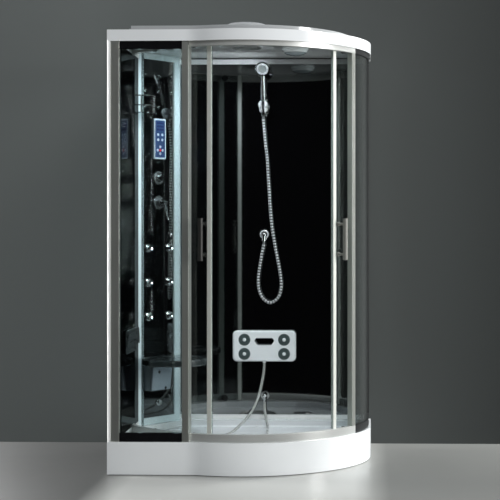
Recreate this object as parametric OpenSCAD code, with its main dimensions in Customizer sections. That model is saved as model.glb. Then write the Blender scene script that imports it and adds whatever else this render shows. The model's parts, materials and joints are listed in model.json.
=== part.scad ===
// Hydromassage shower cabin: a corner cabin with a quarter-round front, two curved
// sliding doors and a diagonal column for the jets.
// Millimetres, +Z up. The origin is on the floor under the middle of the outline.
// The front looks towards -Y. A place on the curved front is an angle counted from
// straight ahead (-Y) towards the right (+X), about the centre of the curve.

/* [Cabin] */
// Overall width, wall side to curved side
cab_w = 1275; // [1200:5:1350]
// Overall depth, front of the curve to the back
cab_d = 900; // [880:5:1000]
// Radius of the curved front
front_r = 645; // [625:5:665]
// How far the straight part of the front lies behind the front of the curve
flat_back = 35; // [28:1:42]
// Radius of the hollow blend between the straight part and the curve
blend_r = 300; // [200:10:400]
// Height of the ceiling's underside over the floor
ceiling_z = 2110; // [2050:5:2250]

/* [Tray] */
// Height of the tray's rim over the floor
tray_h = 160; // [140:5:180]
// Thickness of the tray's shell
tray_wall = 5; // [4:0.5:7]
// Width of the rim around the basin
tray_rim = 75; // [72:1:85]
// Depth of the basin below the rim
basin_depth = 35; // [25:1:45]
// Gap between the skirt and the floor
skirt_gap = 3; // [2:1:10]
// Radius of the drain hole
drain_r = 45; // [40:1:50]
// Height of the steel tubes under the tray
tube_h = 25; // [20:1:30]
// Radius of a levelling foot's pad
foot_r = 25; // [20:1:30]

/* [Roof] */
// Height of the roof's outer rim
roof_rim_h = 55; // [45:1:70]
// How far the rim hangs below the ceiling
roof_drop = 15; // [10:1:20]
// Wall thickness of the roof cover
roof_wall = 4; // [3:0.5:6]
// Height of the raised middle over the rim
crown_h = 32; // [20:1:45]
// How far the raised middle lies inside the rim
crown_inset = 100; // [70:5:130]
// Radius of the fan dome
dome_r = 122; // [110:1:135]
// Height of the fan dome over the raised middle
dome_h = 58; // [45:1:70]
// Radius of the fan duct
duct_r = 80; // [72:1:84]
// Thickness of the ceiling panel
ceiling_t = 5; // [4:0.5:8]
// Radius of the ceiling lamp
lamp_r = 68; // [60:1:80]

/* [Rails and posts] */
// Depth of the curved rails, measured on the radius
rail_w = 26; // [24:1:28]
// Height of the curved rails
rail_h = 40; // [38:1:46]
// Wall thickness of the rails
rail_wall = 4; // [3:0.5:5]
// How far the rails lie inside the tray's edge
rail_inset = 11; // [9:1:13]
// Width of a door post
post_w = 34; // [28:1:40]
// Place of the left door post on the curve, degrees
post_left_at = -23.5; // [-26:0.1:-23]
// Place of the right door post on the curve, degrees
post_right_at = 61.7; // [60:0.1:63]
// Width of the left wall jamb
jamb_w = 42; // [38:1:46]
// Width of the white corner trim
trim_w = 16; // [12:1:20]
// Height of the black bands of the flat pane
band_h = 43; // [38:1:50]
// Depth of the black bands
band_t = 22; // [18:1:24]

/* [Doors] */
// Thickness of all glass
glass_t = 6; // [5:0.5:6]
// Place on the curve where the closed leaves meet, degrees
meet_at = 18.5; // [18:0.1:19]
// How far each leaf has slid open, degrees
door_open = 30.1; // [26:0.1:31]
// Width of one leaf, degrees
leaf_deg = 45.5; // [45:0.1:46]
// Width of the leading stile
stile_w = 22; // [18:1:26]
// Diameter of the handle bar
handle_d = 24; // [18:1:28]
// Length of the handle bar
handle_l = 206; // [180:1:240]
// Distance between the legs of the handle
handle_pitch = 150; // [120:1:160]
// Height of the middle of the handle
handle_z = 1137; // [1000:1:1200]
// Distance of the handle bar's middle from the glass
handle_out = 46; // [40:1:50]
// Radius of a door wheel
wheel_r = 12; // [10:0.5:13]
// Width of a door wheel
wheel_w = 10; // [8:0.5:11]

/* [Walls and column] */
// Depth of the wall frames
frame_t = 30; // [25:1:34]
// Distance of the left wall's inner glass face from the cabin's left side
wall_left_in = 64; // [60:1:66]
// Height of the top rails of the walls
top_rail_h = 33; // [28:1:40]
// Height of the bottom rails of the walls
low_rail_h = 25; // [20:1:30]
// Width of the diagonal column
col_w = 300; // [290:1:310]
// Angle of the column from the back wall's line, degrees
col_angle = 52; // [50:0.5:54]
// Distance along the left wall from the cabin's front to the column
col_from_front = 580; // [570:1:590]
// Width of the column's stiles
col_stile = 38; // [32:1:42]

/* [Jets and valves] */
// Radius of a back jet
jet_r = 24; // [20:1:26]
// Distance between the two rows of back jets
jet_cols = 148; // [130:1:155]
// Height of the lowest back jets
jet_z = 727; // [700:1:760]
// Distance between back jets, up and down
jet_pitch = 180; // [150:1:190]
// Radius of a neck jet
neck_r = 8; // [6:0.5:10]
// Distance between neck jets, side to side
neck_cols = 94; // [85:1:98]
// Height of the lowest neck jets
neck_z = 1830; // [1815:1:1840]
// Distance between neck jets, up and down
neck_pitch = 83; // [75:1:85]
// Radius of the valve plates
plate_r = 35; // [30:1:38]
// Height of the function valve
knob_z = 1458; // [1440:1:1470]
// Height of the mixer
mixer_z = 1327; // [1310:1:1340]
// Height of the steam outlet
steam_z = 269; // [255:1:285]
// Width of the control panel
ctrl_w = 85; // [75:1:95]
// Height of the control panel
ctrl_h = 213; // [190:1:220]
// Height of the control panel's middle over the floor
ctrl_z = 1664; // [1655:1:1680]

/* [Seat and shelf] */
// Radius of the seat's round end
seat_r = 170; // [150:1:175]
// Thickness of the seat
seat_t = 35; // [28:1:45]
// Height of the seat
seat_z = 520; // [480:5:560]
// Width of the seat bracket
bracket_w = 142; // [120:1:150]
// Height of the seat bracket
bracket_h = 145; // [110:1:160]
// Radius of the corner shelf
shelf_r = 95; // [85:1:100]
// Height of the corner shelf
shelf_z = 1791; // [1760:1:1800]

/* [Hand shower and massage board] */
// Height of the hand shower holder
holder_z = 1852; // [1840:1:1860]
// Radius of the hand shower's head
head_r = 40; // [36:1:46]
// Diameter of the ribbed shower hose
hose_d = 16; // [14:0.5:17]
// Number of ribs on the shower hose
hose_ribs = 90; // [60:10:200]
// Width of the massage board
board_w = 340; // [320:1:360]
// Height of the massage board
board_h = 166; // [150:1:180]
// Thickness of the massage board
board_t = 35; // [30:1:40]
// Height of the massage board's middle
board_z = 558; // [550:1:580]
// Radius of a nozzle ring on the board
ring_r = 32; // [28:1:34]
// Diameter of the smooth board hose
board_hose_d = 14; // [12:0.5:15]

/* [Hidden] */
$fn = 48;
eps = 1;            // how far a cut runs past a face
gap = 0.3;          // running clearance between pieces that move past each other
pin_gap = 0.05;     // running clearance of a pin in its bore, on the radius

left = -cab_w / 2;
right = cab_w / 2;
front = -cab_d / 2;
back = cab_d / 2;
arc_x = right - front_r;
arc_y = front + front_r;
flat_y = front + flat_back;
basin_z = tray_h - basin_depth;

// Hollow blend: a circle that touches the straight front and the curve from outside.
blend_y = flat_y - blend_r;
blend_x = arc_x - sqrt(pow(front_r + blend_r, 2) - pow(arc_y - blend_y, 2));

roof_z = ceiling_z - roof_drop;
crown_z = roof_z + roof_rim_h;
dome_z = crown_z + crown_h;

rail_out = front_r - rail_inset;
rail_in = rail_out - rail_w;
low_rail_z = tray_h;
top_rail_z = ceiling_z - rail_h;
posts_z1 = tray_h + rail_h;
rail_mid = (rail_in + rail_out - rail_wall) / 2;
pane_inset = 6;                     // curved fixed pane behind the rails' outer face

door_gap = 4;                       // between the leaf's outer face and the rail
door_out = rail_in - door_gap;
door_in = door_out - glass_t;
leaf_clear = 6;                     // leaf to tray and to ceiling
leaf_z1 = tray_h + leaf_clear;
leaf_z2 = ceiling_z - leaf_clear;
meet_gap = 0.06;                    // degrees left between the closed magnets
magnet_deg = 0.5;
stile_deg = stile_w / door_out * 180 / PI;
stile_in = door_in - 8;
stile_out = door_out + 2;
seal_deg = 1.2;
handle_deg = magnet_deg + stile_deg + 1.5;
carrier_front_deg = 10.3;
carrier_rear_deg = 34.8;
carrier_r = 18;
neck_pin_r = 6;
axle_r = 3;
top_wheel_z = top_rail_z + rail_wall + wheel_r + gap;
guide_z = tray_h + rail_h / 2;

wall_x = left + wall_left_in;       // inner glass face of the left wall
lip = 4;                            // rails stand this far in front of the wall glass
back_y = back - frame_t;            // inner glass face of the back wall
jamb_y1 = flat_y + 5;
jamb_y2 = flat_y + 35;
pane_y = flat_y + 15;               // outer face of the flat pane
top_band = band_h + 10;             // the top band's height, part of it behind the roof
jamb_x2 = wall_x - glass_t;
jamb_x1 = jamb_x2 - jamb_w;
block_x1 = arc_x + rail_out * sin(post_left_at) - post_w / 2 + 2;
post_deg = post_w / rail_out * 180 / PI / 2;
jamb_right_y = back_y - lip - 20;

col_x = wall_x;
col_y = front + col_from_front;
col_end_x = col_x + col_w * cos(col_angle);
col_end_y = col_y + col_w * sin(col_angle);
panel_in = 8;                       // column glass lies this far behind its frame
col_mid = 152;
col_low_rail = 36;
col_top_rail = 30;

seat_from_wall = 196;
seat_from_front = 550;
seat_x = col_x + seat_from_wall;
seat_y = front + seat_from_front;
bracket_mid = 112;                  // along the column
bracket_out = 66;                   // how far the bracket stands out under the seat
bracket_low_out = 50;
pad_from_front = 335;
pad_over_seat = 108;
drain_x = 250;
drain_y = -80;
fan_x = 2;
fan_y = 0;
lamp_x = 252;

holder_x = 62;
holder_out = 70;                    // handle's axis in front of the wall
handle_tilt = 12;
cradle_h = 34;
stem_r = 12.3;
ferrule_r = 12;
elbow_x = 63;
elbow_z = 1158;
elbow_out = 45;
board_x = 65.5;
board_off = 8;                      // back of the board in front of the wall
board_elbow_x = 67;
board_elbow_z = 290;
board_elbow_out = 35;
board_hose_out = 25;                // hose outlet in front of the wall
ring_cols = 213.5;
ring_rows = 76;
peg_r = 5;
peg_dx = 90;
peg_z = 45;                         // pegs over the board's middle

// Routes of the two hoses, along their middle lines.
holder_axis = [holder_x, back_y - holder_out, holder_z];
function on_handle(t) = holder_axis + t * [0, -sin(handle_tilt), cos(handle_tilt)];
hose_top = on_handle(-58 - gap);
shower_route = [
  hose_top, hose_top - 20 * [0, -sin(handle_tilt), cos(handle_tilt)],
  [64, 374, 1740], [72, 380, 1650], [82, 382, 1556], [91, 382, 1396], [103, 382, 1232],
  [122, 382, 1102], [144, 381, 987], [156, 379, 905], [153, 377, 850], [135, 376, 812],
  [97, 375, 792], [57, 375, 816], [36, 375, 868], [34, 375, 926], [42, 375, 987],
  [54, 375, 1055], [elbow_x, 375, 1100], [elbow_x, 375, 1122]
];
board_route = [
  [64, 395, 466], [64, 395, 450], [61, 392, 413], [49, 386, 344], [34, 368, 285],
  [16, 334, 238], [-5, 288, 203], [-29, 232, 176], [-56, 170, 152], [-82, 105, 135],
  [-99, 40, 132.3], [-100, -25, 132.3], [-74, -80, 132.3], [-20, -108, 132.3],
  [40, -96, 132.3], [84, -52, 132.3], [101, 10, 132.3], [102, 80, 132.3],
  [98, 150, 132.3], [95, 220, 133], [90, 290, 141], [80, 345, 165],
  [70, 378, 205], [67, 385, 240], [67, 385, 258]
];

// Shapes used by several pieces

module plan(inset = 0) {
  r = front_r - inset;
  touch_x = arc_x - (arc_x - blend_x) * r / (front_r + blend_r) - 4;
  far = 50;
  intersection() {
    translate([left + inset, front - far]) square([cab_w + far, cab_d - inset + far]);
    union() {
      translate([arc_x, arc_y]) circle(r = r, $fn = 180);
      translate([arc_x, arc_y]) square([r, cab_d]);
      translate([left - far, flat_y + inset]) square([blend_x - left + far, cab_d]);
      difference() {
        translate([blend_x, front]) square([touch_x - blend_x, cab_d]);
        translate([blend_x, blend_y]) circle(r = blend_r + inset, $fn = 180);
      }
    }
  }
}

module slab(z1, z2, inset = 0) {
  translate([0, 0, z1]) linear_extrude(z2 - z1) plan(inset);
}

module wedge(r, a1, a2) {
  steps = 8;
  rim = [for (i = [0 : steps]) let (a = a1 + (a2 - a1) * i / steps) 1.3 * r * [sin(a), -cos(a)]];
  polygon(concat([[0, 0]], rim));
}

module ring_part(r1, r2, a1, a2) {
  translate([arc_x, arc_y])
    intersection() {
      difference() {
        circle(r = r2, $fn = 180);
        circle(r = r1, $fn = 180);
      }
      wedge(r2, a1, a2);
    }
}

module arc_wall(r1, r2, a1, a2, z1, z2) {
  translate([0, 0, z1]) linear_extrude(z2 - z1) ring_part(r1, r2, a1, a2);
}

module on_curve(a) {
  translate([arc_x, arc_y, 0]) rotate([0, 0, a]) children();
}

module spoke(r1, r2, rad, z) {
  translate([0, -r1, z]) rotate([90, 0, 0]) cylinder(r = rad, h = r2 - r1);
}

module on_column() {
  translate([col_x, col_y, 0]) rotate([0, 0, col_angle]) children();
}

module at_panel(x, z) {
  on_column() translate([x, panel_in, z]) rotate([90, 0, 0]) children();
}

module at_back(x, z) {
  translate([x, back_y, z]) rotate([90, 0, 0]) children();
}

module tube_bar(size, wall) {
  difference() {
    cube(size);
    translate([wall, wall, -eps]) cube([size[0] - 2 * wall, size[1] - 2 * wall, size[2] + 2 * eps]);
  }
}

module round_rect(w, h, r) {
  square([w - 2 * r, h], center = true);
  square([w, h - 2 * r], center = true);
  for (x = [-1, 1], y = [-1, 1])
    translate([x * (w / 2 - r), y * (h / 2 - r)]) circle(r = r);
}

// Sweeping a hose along its route

function span(p, i) = norm(p[i + 1] - p[i]);
function unit(v) = v / norm(v);
function cross3(a, b) = [a[1] * b[2] - a[2] * b[1], a[2] * b[0] - a[0] * b[2], a[0] * b[1] - a[1] * b[0]];

// One point of a smooth curve through p[i] and p[i + 1], t from 0 to 1.
function smooth(p, i, t) =
  let (n = len(p) - 1,
       a = p[max(i - 1, 0)], b = p[i], c = p[i + 1], d = p[min(i + 2, n)],
       m1 = (c - a) / 2, m2 = (d - b) / 2)
  (2 * t * t * t - 3 * t * t + 1) * b + (t * t * t - 2 * t * t + t) * m1
    + (3 * t * t - 2 * t * t * t) * c + (t * t * t - t * t) * m2;

function dense(p, k) = concat(
  [for (i = [0 : len(p) - 2], j = [0 : k - 1]) smooth(p, i, j / k)], [p[len(p) - 1]]);

function lengths(p, i = 0, s = 0) =
  i == len(p) - 1 ? [s] : concat([s], lengths(p, i + 1, s + span(p, i)));

// The point at length s along p, whose running lengths are in l.
function along(p, l, s) =
  let (i = max([for (k = [0 : len(p) - 2]) if (l[k] <= s + 0.0001) k]),
       t = (s - l[i]) / (l[i + 1] - l[i]))
  p[i] + t * (p[i + 1] - p[i]);

// Frames carried along the curve without twist, as [side, up] at each point. Its ends
// are square to the directions first and last.
function frames(p, first, last, i = 0, side = [0, 1, 0]) =
  let (n = len(p) - 1,
       t = i == 0 ? first : i == n ? last : unit(p[i + 1] - p[i - 1]),
       s = unit(side - (side * t) * t))
  i == n ? [[s, cross3(t, s)]] : concat([[s, cross3(t, s)]], frames(p, first, last, i + 1, s));

module swept(points, radii, sides, first, last) {
  f = frames(points, first, last);
  rings = len(points);
  verts = [for (i = [0 : rings - 1], k = [0 : sides - 1])
    let (a = 360 * k / sides)
    points[i] + radii[i] * (cos(a) * f[i][0] + sin(a) * f[i][1])];
  walls = [for (i = [0 : rings - 2], k = [0 : sides - 1])
    let (a = i * sides + k, b = i * sides + (k + 1) % sides)
    each [[a, a + sides, b + sides], [a, b + sides, b]]];
  caps = [
    [for (k = [0 : sides - 1]) k],
    [for (k = [sides - 1 : -1 : 0]) (rings - 1) * sides + k]
  ];
  polyhedron(points = verts, faces = concat(caps, walls), convexity = 20);
}

// Tray and what is under it

module basin_plan(inset = 0) {
  edge = tray_rim + inset;
  intersection() {
    translate([left + edge, flat_y + edge]) square([cab_w, back - flat_y - 2 * edge]);
    translate([arc_x, arc_y]) circle(r = front_r - edge, $fn = 180);
    translate([col_x, col_y]) rotate([0, 0, col_angle])
      translate([-cab_w, -20 - inset - 2 * cab_w]) square([3 * cab_w, 2 * cab_w]);
  }
}

module tray() {
  color("white")
  difference() {
    slab(skirt_gap, tray_h);
    difference() {
      slab(0, tray_h - tray_wall, tray_wall);
      translate([0, 0, basin_z - tray_wall]) linear_extrude(tray_h) basin_plan(-tray_wall);
    }
    translate([0, 0, basin_z]) linear_extrude(tray_h) basin_plan();
    translate([drain_x, drain_y, 0]) cylinder(r = drain_r, h = tray_h);
    translate([left + 60, back - 40, 0]) cube([cab_w - 120, 40 + eps, basin_z - 20]);
    translate([left - eps, col_y - 100, 0]) cube([40, back - col_y, basin_z - 20]);
  }
}

tube_z2 = basin_z - tray_wall;
tube_w = 30;
feet_x = [left + 110, 60, right - 110];
feet_y = [-190, 330];
foot_front_y = [flat_y + 160, -300, -10];

module tray_frame() {
  color("slategray")
  translate([0, 0, tube_z2 - tube_h]) {
    for (x = feet_x)
      translate([x - tube_w / 2, x > 300 ? -60 : -330, 0])
        cube([tube_w, feet_y[1] + 60 - (x > 300 ? -60 : -330), tube_h]);
    for (y = [40, feet_y[1]])
      translate([feet_x[0] - 60, y - tube_w / 2, 0])
        cube([feet_x[2] - feet_x[0] + 120, tube_w, tube_h]);
  }
}

module levelling_foot() {
  cylinder(r = foot_r, h = 8);
  cylinder(r = 5, h = tube_z2 - tube_h);
  translate([0, 0, tube_z2 - tube_h - 10]) cylinder(r = 9, h = 10, $fn = 6);
  translate([0, 0, 8]) cylinder(r = 12, h = 6);
}

module levelling_feet() {
  color("dimgray")
  for (i = [0 : 2]) {
    translate([feet_x[i], feet_y[1], 0]) levelling_foot();
    translate([feet_x[i], foot_front_y[i], 0]) levelling_foot();
  }
}

trap_r = 55;
trap_pipe_r = 20;
trap_z = 62;

module waste_trap() {
  color("lightgray")
  translate([drain_x, drain_y, 0])
  difference() {
    union() {
      translate([0, 0, basin_z]) cylinder(r = drain_r + 10, h = 2);
      translate([0, 0, 108]) cylinder(r = drain_r - 1, h = basin_z - 108);
      translate([0, 0, 36]) cylinder(r = trap_r, h = 72);
      translate([0, 0, trap_z]) rotate([-90, 0, 0]) cylinder(r = trap_pipe_r, h = 150);
      translate([0, 0, trap_z]) rotate([-90, 0, 0]) cylinder(r = trap_pipe_r + 6, h = trap_r + 18);
    }
    translate([0, 0, 40]) cylinder(r = drain_r - 5, h = basin_z);
    translate([0, 0, trap_z]) rotate([-90, 0, 0]) cylinder(r = trap_pipe_r - 3, h = 151);
  }
}

module drain_cover() {
  color("silver")
  translate([drain_x, drain_y, basin_z + 2])
    rotate_extrude($fn = 64)
      polygon([[0, -14], [26, -14], [30, -11], [30, 0], [53, 0], [54, 2], [50, 5], [30, 7], [0, 8]]);
}

// Roof

module roof_cover() {
  color("white")
  difference() {
    union() {
      slab(roof_z, crown_z);
      slab(crown_z, dome_z, crown_inset);
      slab(crown_z, crown_z + crown_h / 2, crown_inset - 8);
    }
    slab(roof_z - eps, crown_z - roof_wall, roof_wall);
    slab(crown_z - roof_wall - eps, dome_z - roof_wall, crown_inset + roof_wall);
    translate([fan_x, fan_y, crown_z]) cylinder(r = duct_r + gap, h = crown_h + eps);
  }
}

module ceiling_panel() {
  color("gainsboro")
  difference() {
    slab(ceiling_z, ceiling_z + ceiling_t, roof_wall + 0.5);
    translate([fan_x, fan_y, ceiling_z - eps]) cylinder(r = duct_r, h = ceiling_t + 2 * eps);
  }
}

dome_wall = 3;
dome_slots = 24;

module roof_dome() {
  color("whitesmoke")
  translate([fan_x, fan_y, dome_z])
  difference() {
    rotate_extrude($fn = 96)
      polygon([[0, dome_h], [dome_r * 0.45, dome_h - 2], [dome_r * 0.75, dome_h - 8],
        [dome_r * 0.9, dome_h - 16], [dome_r - 4, dome_h - 26], [dome_r, dome_h - 34], [dome_r, 0],
        [dome_r - dome_wall, 0], [dome_r - dome_wall, dome_h - 35],
        [dome_r * 0.88, dome_h - 19], [dome_r * 0.73, dome_h - 11], [0, dome_h - 4]]);
    for (i = [0 : dome_slots - 1])
      rotate([0, 0, i * 360 / dome_slots])
        translate([dome_r - 8, -4, 5]) cube([16, 8, dome_h - 44]);
  }
}

fan_r = 70;
motor_r = 24;
duct_wall = 3;
rotor_z = ceiling_z + 22;

module fan_housing() {
  color("lightgray")
  translate([fan_x, fan_y, 0]) {
    translate([0, 0, ceiling_z]) difference() {
      cylinder(r = duct_r, h = dome_z - ceiling_z + 6);
      translate([0, 0, -eps]) cylinder(r = duct_r - duct_wall, h = dome_z - ceiling_z + 6 + 2 * eps);
    }
    translate([0, 0, rotor_z + 24]) cylinder(r = motor_r, h = 30);
    translate([0, 0, rotor_z + 2]) cylinder(r = axle_r, h = 22);
    for (i = [0 : 2])
      rotate([0, 0, 120 * i + 40]) translate([motor_r - 2, -4, rotor_z + 34])
        cube([duct_r - motor_r, 8, 10]);
    translate([0, 0, ceiling_z]) {
      for (r = [16, 34, 52])
        difference() {
          cylinder(r = r + 3, h = 4);
          translate([0, 0, -eps]) cylinder(r = r, h = 4 + 2 * eps);
        }
      for (i = [0 : 2])
        rotate([0, 0, 60 * i + 20]) translate([-duct_r + 2, -2, 0.5]) cube([2 * duct_r - 4, 4, 3]);
    }
  }
}

module fan_rotor() {
  color("dimgray")
  translate([fan_x, fan_y, rotor_z])
  difference() {
    union() {
      cylinder(r = 16, h = 22);
      for (i = [0 : 6])
        rotate([0, 0, i * 360 / 7]) translate([12, 0, 11]) rotate([32, 0, 0])
          translate([0, -16, -1]) cube([fan_r - 18, 32, 2]);
    }
    translate([0, 0, 1.5]) cylinder(r = axle_r + pin_gap, h = 22);
  }
}

module ceiling_lamp() {
  color("ghostwhite")
  translate([lamp_x, fan_y, ceiling_z])
    rotate_extrude($fn = 72)
      polygon([[0, 0], [lamp_r, 0], [lamp_r, -12], [lamp_r - 4, -13], [lamp_r - 10, -24],
        [lamp_r - 24, -33], [lamp_r - 44, -38], [0, -40]]);
}

// Walls and column

module left_wall_glass() {
  color([0.03, 0.03, 0.035])
  translate([wall_x - glass_t, jamb_y2, tray_h + low_rail_h])
    cube([glass_t, col_y - jamb_y2, ceiling_z - top_rail_h - tray_h - low_rail_h]);
}

module back_wall_glass() {
  color([0.03, 0.03, 0.035])
  translate([col_end_x, back_y, tray_h + low_rail_h])
    cube([arc_x + rail_out - col_end_x, glass_t, ceiling_z - top_rail_h - tray_h - low_rail_h]);
}

module wall_frames() {
  wall_stile = 30;
  side_len = col_y - jamb_y2;
  back_len = arc_x + rail_out - col_end_x;
  back_t = frame_t - roof_wall;
  rails = [[tray_h, low_rail_h], [ceiling_z - top_rail_h, top_rail_h]];
  mid_z = tray_h + low_rail_h;
  mid_h = ceiling_z - top_rail_h - mid_z;
  color("silver") {
    for (r = rails) {
      translate([wall_x - glass_t - frame_t, jamb_y2, r[0]])
        cube([frame_t + glass_t + lip, side_len, r[1]]);
      translate([col_end_x, back_y - lip, r[0]]) cube([back_len, back_t + lip, r[1]]);
    }
    for (y = [jamb_y2, col_y - wall_stile])
      translate([wall_x - glass_t - frame_t, y, mid_z]) cube([frame_t, wall_stile, mid_h]);
    for (x = [col_end_x, col_end_x + (back_len - wall_stile) / 2, arc_x + rail_out - wall_stile])
      translate([x, back_y + glass_t, mid_z]) cube([wall_stile, back_t - glass_t, mid_h]);
  }
}

module column_frame() {
  full = ceiling_z - tray_h;
  color("lightsteelblue") {
    on_column() translate([0, 0, tray_h]) {
      for (x = [0, col_w - col_stile]) translate([x, 0, 0]) cube([col_stile, frame_t, full]);
      translate([col_stile - 2, 0, 0]) cube([col_w - 2 * col_stile + 4, frame_t, col_low_rail]);
      translate([col_stile - 2, 0, full - col_top_rail])
        cube([col_w - 2 * col_stile + 4, frame_t, col_top_rail]);
    }
    translate([col_end_x - 6, col_end_y - 1, tray_h + 2])
      cube([4, back_y - lip - col_end_y + 1, full - 4]);
  }
}

function neck_places() = [for (i = [-1 : 1], k = [0 : 2]) [col_mid + i * neck_cols, neck_z + k * neck_pitch]];
function jet_places() = [for (i = [-1, 1], k = [0 : 2]) [col_mid + i * jet_cols / 2, jet_z + k * jet_pitch]];
jet_stem = 9;
neck_stem = 4;
valve_stem = 16;
stem_clear = 0.2;

module column_glass() {
  color([0.03, 0.03, 0.035])
  difference() {
    on_column() translate([col_stile, panel_in, tray_h + col_low_rail])
      cube([col_w - 2 * col_stile, glass_t, ceiling_z - tray_h - col_low_rail - col_top_rail]);
    for (p = jet_places()) at_panel(p[0], p[1]) translate([0, 0, -20]) cylinder(r = jet_stem + stem_clear, h = 40);
    for (p = neck_places()) at_panel(p[0], p[1]) translate([0, 0, -20]) cylinder(r = neck_stem + stem_clear, h = 40);
    for (z = [knob_z, mixer_z]) at_panel(col_mid, z) translate([0, 0, -20]) cylinder(r = valve_stem + stem_clear, h = 40);
    at_panel(col_mid, steam_z) translate([0, 0, -20]) cylinder(r = jet_stem + stem_clear, h = 40);
  }
}

// Front profiles and fixed panes

module corner_trim() {
  color("white")
  translate([left, flat_y, tray_h]) {
    cube([trim_w, 30, roof_z - tray_h]);
    cube([trim_w + 10, 5, roof_z - tray_h]);
  }
}

module wall_jambs() {
  color("silver") {
    translate([jamb_x1, jamb_y1, tray_h]) tube_bar([jamb_w, jamb_y2 - jamb_y1, ceiling_z - tray_h], 3);
    translate([arc_x + rail_in, jamb_right_y, tray_h])
      tube_bar([rail_w, back_y - lip - jamb_right_y, ceiling_z - tray_h], 3);
  }
}

module door_posts() {
  color("silver") {
    arc_wall(door_out + 3, rail_out, post_left_at - post_deg, post_left_at + post_deg, posts_z1, top_rail_z);
    arc_wall(door_out + 3, rail_out, post_right_at - post_deg, post_right_at + post_deg, posts_z1, top_rail_z);
    translate([block_x1, jamb_y1, posts_z1]) cube([post_w - 4, 34, top_rail_z - posts_z1]);
    translate([block_x1, jamb_y1, tray_h]) cube([post_w - 4, 16, ceiling_z - tray_h]);
  }
}

module rail_profile(z1) {
  difference() {
    union() {
      arc_wall(rail_in, rail_out, -72, 90, z1, z1 + rail_h);
      translate([arc_x + rail_in, arc_y, z1]) cube([rail_w, jamb_right_y - arc_y, rail_h]);
    }
    arc_wall(rail_in - eps, rail_out - rail_wall, -75, 90, z1 + rail_wall, z1 + rail_h - rail_wall);
    translate([arc_x + rail_in - eps, arc_y - 0.01, z1 + rail_wall])
      cube([rail_w - rail_wall + eps, jamb_right_y - arc_y + eps, rail_h - 2 * rail_wall]);
    translate([left - cab_w, front, z1 - eps])
      cube([wall_x + lip - left + cab_w, cab_d, rail_h + 2 * eps]);
  }
}

module top_rail() {
  color("silver") rail_profile(top_rail_z);
}

module bottom_rail() {
  color("silver") rail_profile(low_rail_z);
}

module flat_pane() {
  color([0.45, 0.55, 0.6, 0.5])
  translate([jamb_x2, pane_y, tray_h + band_h])
    cube([block_x1 - jamb_x2, glass_t, ceiling_z - top_band - tray_h - band_h]);
}

module pane_bands() {
  color([0.05, 0.05, 0.05]) {
    translate([jamb_x2, jamb_y1 + 2, tray_h]) cube([block_x1 - jamb_x2, band_t, band_h]);
    translate([jamb_x2, jamb_y1 + 2, ceiling_z - top_band]) cube([block_x1 - jamb_x2, band_t, top_band]);
  }
}

module curved_pane() {
  r1 = rail_out - pane_inset - glass_t;
  color([0.45, 0.5, 0.5, 0.5]) {
    translate([0, 0, posts_z1]) linear_extrude(top_rail_z - posts_z1) {
      ring_part(r1, r1 + glass_t, post_right_at + post_deg, 90);
      translate([arc_x + r1, arc_y]) square([glass_t, jamb_right_y - arc_y]);
    }
  }
}

// Things inside the cabin

module shelf_plan(r) {
  intersection() {
    translate([col_x, col_y]) circle(r = r, $fn = 96);
    translate([col_x, col_y - cab_d]) square([cab_w, 2 * cab_d]);
    translate([col_x, col_y]) rotate([0, 0, col_angle]) translate([-cab_w, -cab_w]) square([2 * cab_w, cab_w]);
  }
}

module corner_shelf() {
  color("darkslategray")
  translate([0, 0, shelf_z - 6]) linear_extrude(6) shelf_plan(shelf_r);
}

module shelf_rails() {
  rod_r = 3;
  ring = shelf_r - 5;
  color("silver") {
    for (z = [shelf_z + 36, shelf_z + 86])
      intersection() {
        translate([col_x, col_y, z]) rotate_extrude($fn = 96) translate([ring, 0]) circle(r = rod_r, $fn = 24);
        translate([0, 0, z - 10]) linear_extrude(20) shelf_plan(shelf_r + 20);
      }
    for (a = [-72, -22, 30])
      translate([col_x + ring * cos(a), col_y + ring * sin(a), shelf_z]) cylinder(r = rod_r - 0.5, h = 86);
  }
}

module seat_plan(inset = 0) {
  intersection() {
    union() {
      translate([seat_x, seat_y]) circle(r = seat_r - inset, $fn = 120);
      translate([seat_x - 110 + inset, seat_y - seat_r + inset])
        square([110 - inset, 2 * seat_r - 2 * inset]);
    }
    translate([col_x, col_y]) rotate([0, 0, col_angle])
      translate([-cab_w, -2 * cab_w]) square([3 * cab_w, 2 * cab_w]);
  }
}

module seat() {
  color([0.2, 0.22, 0.23]) {
    translate([0, 0, seat_z - seat_t]) linear_extrude(5) seat_plan(5);
    translate([0, 0, seat_z - seat_t + 5]) linear_extrude(seat_t - 10) seat_plan();
    translate([0, 0, seat_z - 5]) linear_extrude(5) seat_plan(5);
  }
}

module seat_bracket() {
  z2 = seat_z - seat_t;
  color("lightslategray")
  on_column()
  translate([bracket_mid - bracket_w / 2, 0, 0]) rotate([90, 0, 90])
    linear_extrude(bracket_w)
      polygon([[panel_in, z2], [-bracket_out, z2], [-bracket_low_out, z2 - bracket_h],
        [panel_in, z2 - bracket_h]]);
}

module backrest() {
  w = 380;
  h = 125;
  color([0.16, 0.18, 0.18])
  translate([wall_x, front + pad_from_front, seat_z + pad_over_seat])
    rotate([90, 0, 90])
      hull() {
        linear_extrude(4) round_rect(w, h, 30);
        translate([0, 0, 16]) linear_extrude(4) round_rect(w - 6, h - 6, 28);
        translate([0, 0, 24]) linear_extrude(4) round_rect(w - 24, h - 24, 24);
      }
}

module control_panel() {
  color("lightgray")
  at_panel(col_mid, ctrl_z)
  difference() {
    linear_extrude(12) round_rect(ctrl_w, ctrl_h, 8);
    translate([0, 0, 10]) linear_extrude(4) round_rect(ctrl_w - 14, ctrl_h - 16, 4);
  }
}

module control_screen() {
  color([0.1, 0.16, 0.36])
  at_panel(col_mid, ctrl_z)
    translate([0, 0, 10]) linear_extrude(2.5) round_rect(ctrl_w - 15, ctrl_h - 17, 3.5);
}

spindle_r = 5;
body_h = 30;

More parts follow.
